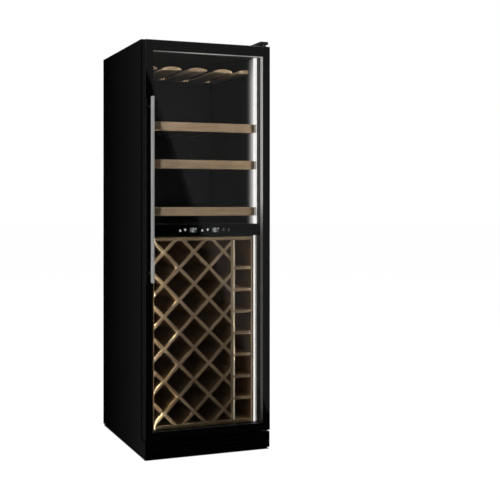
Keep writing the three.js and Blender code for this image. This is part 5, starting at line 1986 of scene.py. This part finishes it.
@dataclass
class MachineCompartment:
    """Compressor, drain tray and condenser behind the louvres at the bottom of the back.

    The shell's bottom is a bowl, and its crown follows a curve from the seam to a flat. Shares are of the
    belly's radius.
    """

    rows: RowPattern
    belly: float = 76.0
    bowl: float = 0.7
    bowl_steps: int = 8
    seam: float = 98.0
    seam_lip: float = 1.07
    seam_height: float = 7.0
    crown_height: float = 172.0
    crown_pull: float = 12.0
    crown_share: float = 0.6
    crown_flat: float = 24.0
    crown_steps: int = 10
    plate_rise: float = 18.0
    plate: float = 3.0
    foot: Span = (184.0, 140.0)
    grommet_inset: float = 16.0
    grommet: Stops = ((0, 0), (10, 0), (10, 7), (7, 9), (10, 11), (10, 23), (5, 24), (0, 24))
    fins: int = 40
    fin_thickness: float = 0.6
    fin_ends: float = 2.0
    fin_clearance: Span = (14.0, 4.0)
    end_plate: float = 1.2
    tube_radius: float = 4.5
    tube_spread: float = 16.0
    tube_rows: int = 4
    tube_gap: float = 0.2

    def build(self) -> None:
        """Make the compressor and the condenser."""
        self._compressor()
        self._condenser()

    def _shell(self, plate: float) -> Outline:
        """The outline of the compressor's shell, from the middle of its bowl to its crown.

        Args:
            plate: the height of the foot plate.

        Returns:
            Points as (radius, height).
        """
        b, joint, crown = self.belly, plate + self.seam, plate + self.crown_height
        profile = [(0.0, plate), (b * self.bowl, plate)]
        for n in range(1, self.bowl_steps + 1):
            a = math.pi / 2 * n / self.bowl_steps
            share = self.bowl + (1 - self.bowl) * math.sin(a)
            profile.append((b * share, plate + b / 2 * (1 - math.cos(a))))
        lip, over = b * self.seam_lip, joint + self.seam_height
        profile += [(b, joint), (lip, joint + 1), (lip, over - 1), (b, over)]
        for n in range(1, self.crown_steps + 1):
            t = n / self.crown_steps
            u = 1 - t
            weights = (u**3, 3 * u * u * t, 3 * u * t * t, t**3)
            radii = (b, b, b * self.crown_share, self.crown_flat)
            heights = (over, crown - self.crown_pull, crown, crown)
            r, z = (sum(w * v for w, v in zip(weights, values)) for values in (radii, heights))
            profile.append((r, z))
        return [*profile, (0.0, crown)]

    def _compressor(self) -> None:
        """A drawn steel shell in two halves on a foot plate, with grommets."""
        low, high = box_of("compressor")
        x, y, base = (low.x + high.x) / 2, (low.y + high.y) / 2, low.z
        plate = base + self.plate_rise
        shape = Shape().lathe(self._shell(plate), (x, y, 0), sides=56)
        fx, fy = self.foot[0] / 2, self.foot[1] / 2
        shape.box((x - fx, y - fy, plate), (x + fx, y + fy, plate + self.plate), 1.0)
        inset = self.grommet_inset
        for a in (-1, 1):
            for c in (-1, 1):
                spot = (x + a * (fx - inset), y + c * (fy - inset), base)
                shape.lathe(self.grommet, spot, sides=20, slot=1)
        shell = shape.object("compressor_shell", [LACQUER, RUBBER])
        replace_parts(seat(shell, "cabinet"), "compressor")

    def _condenser(self) -> None:
        """Thin fins on straight tubes between two end plates."""
        low, high = box_of("condenser")
        under, over = self.fin_clearance
        corners = (low.x, 0, low.z + under), (high.x, self.fin_thickness, high.z - over)
        span = (high.y - low.y - 2 * self.fin_ends) / (self.fins - 1)
        start, step = (0.0, low.y + self.fin_ends, 0.0), (0.0, span, 0.0)
        fins = self.rows.row(Shape().box(*corners), "fins", self.fins, start, step, FIN_METAL)
        ends = Shape()
        for y in (low.y, high.y - self.end_plate):
            ends.box((low.x, y, low.z), (high.x, y + self.end_plate, high.z))
        middle = (low.x + high.x) / 2
        front, back = low.y + self.tube_gap, high.y - self.tube_gap
        for row in range(1, self.tube_rows + 1):
            z = low.z + (high.z - low.z) * row / (self.tube_rows + 1)
            for x in (middle - self.tube_spread, middle + self.tube_spread):
                ends.tube([(x, front, z), (x, back, z)], self.tube_radius, slot=1)
        stack = merge("condenser_stack", [fins, ends.object("fin frame", [FIN_METAL, COPPER])])
        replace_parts(seat(stack, "cabinet"), "condenser")

    def dress(self, nodes: Nodes) -> None:
        """Finish the drain tray."""
        dress(nodes, ["drip_tray"], DARK_PLASTIC)


# ---- studio


@dataclass(frozen=True)
class Lamp:
    """A rectangular soft light, in metres, with a level of radiance where one is white."""

    name: str
    place: Point
    target: Point
    size: Span
    level: float
    spread: float = 180.0
    inside: bool = False

    def hang(self) -> None:
        """Make the light; one inside the cooler is hidden from the eye and gloss."""
        data = bpy.data.lights.new(self.name, "AREA")
        data.shape = "RECTANGLE"
        data.size, data.size_y = self.size
        data.energy = self.level * math.pi * self.size[0] * self.size[1]
        data.spread = math.radians(self.spread)
        made = put(self.name, data)
        made.location = self.place
        way = Vector(self.target) - Vector(self.place)
        made.rotation_euler = way.to_track_quat("-Z", "Y").to_euler()
        for ray in ("camera", "glossy", "transmission") if self.inside else ():
            setattr(made, f"visible_{ray}", False)


@dataclass(frozen=True)
class ZoneLight:
    """A zone's light: a lamp at the face of each strip, and bands just behind the closed door's panes.

    The bands light the fronts of the racks. strip_back and front_back are mm from the door's face, the
    rest is metres. The strips' levels are for left and right, the fronts' for the bottom and the top.
    """

    name: str
    strip_back: float
    strip_middle: float
    strip_height: float
    strip_spread: float
    strip_levels: Span
    front_bottom: float
    front_top: float
    bands: int
    front_levels: Span
    strip_x: float = 0.2555
    strip_width: float = 0.004
    front_back: float = 44.0
    front_span: Span = (-0.2, 0.235)
    front_spread: float = 30.0

    def fronts(self) -> list[Lamp]:
        """Bands of light whose level rises with height.

        Returns:
            The lamps.
        """
        y = (self.front_back + DOOR_FACE) * MM
        left, right = self.front_span
        x, wide = (left + right) / 2, right - left
        tall = (self.front_top - self.front_bottom) / self.bands
        low, high = self.front_levels
        lamps = []
        for n in range(self.bands):
            z = self.front_bottom + tall * (n + 0.5)
            level = low + (high - low) * (n + 0.5) / self.bands
            target, size = (x, y + 1, z), (wide, tall)
            name, spread = f"{self.name} light {n + 1}", self.front_spread
            lamps.append(Lamp(name, (x, y, z), target, size, level, spread, inside=True))
        return lamps

    def strips(self) -> list[Lamp]:
        """A lamp at each strip, that shines across the zone.

        Returns:
            The lamps.
        """
        lamps = []
        for side, level in zip((-1, 1), self.strip_levels):
            place = (side * self.strip_x, (self.strip_back + DOOR_FACE) * MM, self.strip_middle)
            target, size = (0, *place[1:]), (self.strip_width, self.strip_height)
            name, spread = f"{self.name} strip", self.strip_spread
            lamps.append(Lamp(name, place, target, size, level, spread, inside=True))
        return lamps


ROOM_LAMPS = (
    Lamp("key", (-3.6, -2.2, 3.2), (0, 0, 0.9), (2.4, 2.4), 2.2),
    Lamp("fill", (4.2, -1.2, 2.6), (0, 0, 0.9), (2.4, 2.4), 0.8),
    Lamp("top", (0.3, 0.6, 4.6), (0, 0, 0.9), (3.6, 3.6), 4.8),
)
ZONE_LIGHTS = (
    ZoneLight(
        "upper zone",
        strip_back=86.0,
        strip_middle=1.405,
        strip_height=0.74,
        strip_spread=110.0,
        strip_levels=(48.0, 48.0),
        front_bottom=1.035,
        front_top=1.775,
        bands=4,
        front_levels=(0.7, 1.2),
    ),
    ZoneLight(
        "lower zone",
        strip_back=88.5,
        strip_middle=0.56,
        strip_height=0.9,
        strip_spread=24.0,
        strip_levels=(60.0, 20.0),
        front_bottom=0.106,
        front_top=1.0,
        bands=8,
        front_levels=(0.03, 0.56),
    ),
)
END_PLACE = (-0.2555, (88.5 + DOOR_FACE) * MM, 0.155)
STRIP_END = Lamp(
    "lower strip end", END_PLACE, (0, *END_PLACE[1:]), (0.004, 0.06), 150.0, 30.0, inside=True
)


@dataclass
class Studio:
    """Camera, white floor and soft lights, with cards that only gloss sees."""

    camera_place: Point = (-1.509, -4.0205, 1.1186)
    camera_turn: float = -19.65
    lens: float = 64.9
    shift: Span = (0.16, -0.0944)
    ambient: float = 0.3
    floor_reach: float = 40.0
    floor_glow: float = 0.88
    floor_white: float = 1.09
    floor_tone: str = "#f4f4f2"
    # painted shade: the floor's colour inside the cabinet's footprint
    footprint_shade_tone: str = "#2a2a2a"
    foot_middle: float = 0.0315
    foot_half: Span = (0.297, 0.339)
    card_lift: float = 0.002
    front_y: float = -0.95
    front_span: Span = (-3.0, 4.0)
    front_top: float = 4.0
    front_end: float = -0.27
    front_slope: Point = (0.9347, 0.0, 0.3553)
    front_stops: Stops = ((0.0, 0.006), (0.5565, 0.008), (0.5585, 0.21))
    side_y: float = 3.0
    side_span: Span = (-9.0, 0.3)
    side_top: float = 5.0
    side_floor_end: float = -0.3
    mirror_place: Span = (0.914, -4.0205)
    side_stops: Stops = (
        (0.277, 0.0),
        (0.2915, 0.01),
        (0.306, 0.018),
        (0.318, 0.032),
        (0.324, 0.036),
        (0.45, 0.04),
        (0.52, 0.6),
    )

    def camera(self) -> None:
        """Make the camera and set it."""
        data = bpy.data.cameras.new("camera")
        data.lens = self.lens
        data.sensor_width = 36.0
        data.shift_x, data.shift_y = self.shift
        data.clip_end = 200.0
        made = put("camera", data)
        made.location = self.camera_place
        made.rotation_euler = Euler((math.pi / 2, 0.0, math.radians(self.camera_turn)))
        bpy.context.scene.camera = made
        LOG.info("camera is set")

    def seen(self, tree: NodeTree) -> NodeValue:
        """One for rays of the camera, of gloss and through glass, and zero for soft light.

        Args:
            tree: the tree that asks.

        Returns:
            The share.
        """
        ray = add(tree, "ShaderNodeLightPath").outputs
        share: NodeValue = ray["Is Camera Ray"]
        for name in ("Is Glossy Ray", "Is Transmission Ray"):
            share = add(tree, "ShaderNodeMath", {0: share, 1: ray[name]}, operation="MAXIMUM")
        return share

    def world(self) -> None:
        """A white surrounding for the eye and for gloss, and a soft light from all round."""
        world = bpy.data.worlds.new("studio")
        world.use_nodes = True
        tree = world.node_tree
        tree.nodes.clear()
        soft = add(tree, "ShaderNodeBackground", {"Color": WHITE, "Strength": self.ambient})
        full = add(tree, "ShaderNodeBackground", {"Color": WHITE, "Strength": 1.0})
        mixed = add(tree, "ShaderNodeMixShader", {0: self.seen(tree), 1: soft, 2: full})
        add(tree, "ShaderNodeOutputWorld", {"Surface": mixed})
        bpy.context.scene.world = world

    def floor(self) -> None:
        """A floor that is white to the eye and keeps the shadow, with painted shade under the cabinet:
        there it has a darker colour and no glow.
        """
        paint = bpy.data.materials.new("Studio floor")
        paint.use_nodes = True
        tree = paint.node_tree
        tree.nodes.clear()
        own = add(tree, "ShaderNodeTexCoord").outputs["Object"]
        middle = (0.0, self.foot_middle, 0.0)
        moved = add(tree, "ShaderNodeVectorMath", {0: own, 1: middle}, operation="SUBTRACT")
        away = add(tree, "ShaderNodeVectorMath", {0: moved}, operation="ABSOLUTE")
        spot = add(tree, "ShaderNodeSeparateXYZ", {"Vector": away}).outputs
        beyond = [
            add(tree, "ShaderNodeMath", {0: measure, 1: half}, operation="GREATER_THAN")
            for measure, half in zip(spot, self.foot_half)
        ]
        out = add(tree, "ShaderNodeMath", dict(enumerate(beyond)), operation="MAXIMUM")
        share = self.seen(tree)
        for factor in (self.floor_glow, out):
            share = add(tree, "ShaderNodeMath", {0: share, 1: factor}, operation="MULTIPLY")
        # painted shade: a darker colour inside the footprint
        tones = {0: out, 6: linear(self.footprint_shade_tone), 7: linear(self.floor_tone)}
        tone = add(tree, "ShaderNodeMix", tones, data_type="RGBA")
        matt = add(tree, "ShaderNodeBsdfDiffuse", {"Color": tone})
        glow = add(tree, "ShaderNodeEmission", {"Color": WHITE, "Strength": self.floor_white})
        mixed = add(tree, "ShaderNodeMixShader", {0: share, 1: matt, 2: glow})
        add(tree, "ShaderNodeOutputMaterial", {"Surface": mixed})
        ends = (-self.floor_reach, self.floor_reach)
        self.sheet("floor", self.level(ends, ends, 0.0), paint)

    def level(self, across: Span, deep: Span, height: float) -> list[Point]:
        """The corners of a level sheet from its sides, in metres."""
        around = ((0, 0), (1, 0), (1, 1), (0, 1))
        return [(across[n], deep[m], height) for n, m in around]

    def upright(self, across: Span, y: float, top: float) -> list[Point]:
        """The corners of a sheet that stands on the floor, in metres."""
        left, right = across
        return [(left, y, 0), (right, y, 0), (right, y, top), (left, y, top)]

    def sheet(self, name: str, corners: Sequence[Point], paint: Material) -> Object:
        """Add a flat sheet to the studio.

        Args:
            name: its name.
            corners: its corners in metres.
            paint: its material.

        Returns:
            The sheet.
        """
        data = bpy.data.meshes.new(name)
        data.from_pydata(list(corners), [], [tuple(range(len(corners)))])
        data.materials.append(paint)
        made = put(name, data)
        return made

    def card(self, name: str, corners: Sequence[Point], paint: Material) -> None:
        """Hang a card that only gloss sees.

        Args:
            name: its name.
            corners: its corners in metres.
            paint: its material.
        """
        made = self.sheet(name, corners, paint)
        for ray in ("camera", "diffuse", "shadow", "transmission", "volume_scatter"):
            setattr(made, f"visible_{ray}", False)

    def glow(
        self,
        name: str,
        measure_of: Callable[[NodeTree, NodeSocket], NodeValue],
        stops: Stops,
    ) -> Material:
        """A card's paint whose brightness follows a measure of the place.

        Args:
            name: the material's name.
            measure_of: adds the nodes that measure the place.
            stops: pairs of measure and brightness, in rising order.

        Returns:
            The material.
        """
        paint = bpy.data.materials.new(name)
        paint.use_nodes = True
        tree = paint.node_tree
        tree.nodes.clear()
        measure = measure_of(tree, add(tree, "ShaderNodeTexCoord").outputs["Object"])
        power = {"Color": WHITE, "Strength": ramp(tree, measure, stops)}
        light = add(tree, "ShaderNodeEmission", power)
        add(tree, "ShaderNodeOutputMaterial", {"Surface": light})
        return paint

    def slant(self, tree: NodeTree, own: NodeSocket) -> NodeValue:
        """The distance across the slanting edge of the front card."""
        ways = {0: own, 1: self.front_slope}
        return add(tree, "ShaderNodeVectorMath", ways, operation="DOT_PRODUCT")

    def bearing(self, tree: NodeTree, own: NodeSocket) -> NodeValue:
        """The bearing from where the camera appears as mirrored in the cabinet's left side.

        Args:
            tree: the card's tree.
            own: the place on the card.

        Returns:
            Sideways over backwards distance.
        """
        part = add(tree, "ShaderNodeSeparateXYZ", {"Vector": own}).outputs
        x, y = self.mirror_place
        side = add(tree, "ShaderNodeMath", {0: x, 1: part[0]}, operation="SUBTRACT")
        back = add(tree, "ShaderNodeMath", {0: part[1], 1: y}, operation="SUBTRACT")
        return add(tree, "ShaderNodeMath", {0: side, 1: back}, operation="DIVIDE")

    def cards(self) -> None:
        """Cards in front and at the left that the gloss of the door and the side shows."""
        front = self.glow("Front card", self.slant, self.front_stops)
        side = self.glow("Side card", self.bearing, self.side_stops)
        self.card("front card", self.upright(self.front_span, self.front_y, self.front_top), front)
        self.card("side card", self.upright(self.side_span, self.side_y, self.side_top), side)
        across, deep = (self.side_span[0], self.side_floor_end), (DOOR_FACE * MM, self.side_y)
        self.card("left floor card", self.level(across, deep, self.card_lift), side)
        deep = (self.front_y, self.front_end)
        self.card("front floor card", self.level(self.front_span, deep, self.card_lift), front)

    def lamps(self) -> None:
        """A key from the left, a fill from the right, a top light, and the cooler's own light."""
        fronts = [lamp for zone in ZONE_LIGHTS for lamp in zone.fronts()]
        strips = [lamp for zone in ZONE_LIGHTS for lamp in zone.strips()]
        for lamp in (*ROOM_LAMPS, *fronts, *strips, STRIP_END):
            lamp.hang()


# ---- assembly


def main() -> None:
    """Load the frame, build and dress each sub-assembly and set up the studio."""
    logging.basicConfig(level=logging.INFO, format="%(name)s: %(message)s")
    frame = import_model()
    bpy.context.scene.view_settings.view_transform = "Standard"
    studio = Studio()
    studio.camera()
    nodes = frame["nodes"]
    rows = RowPattern()
    cradles = CradlePattern()
    cabinet = Cabinet(rows)
    cabinet.build()
    cabinet.dress(nodes)
    door = Door()
    door.build()
    door.dress(nodes)
    Hinges().dress(nodes)
    LightStrips().build()
    panel = ControlPanel()
    panel.build()
    panel.dress(nodes)
    Shelves(cradles).build()
    StemwareRack(rows).build()
    rack = BottleRack()
    rack.build(nodes)
    rack.dress(nodes)
    AirDucts().dress(nodes)
    machine = MachineCompartment(rows)
    machine.build()
    machine.dress(nodes)

    studio.world()
    studio.floor()
    studio.lamps()
    studio.cards()


if __name__ == "__main__":
    main()
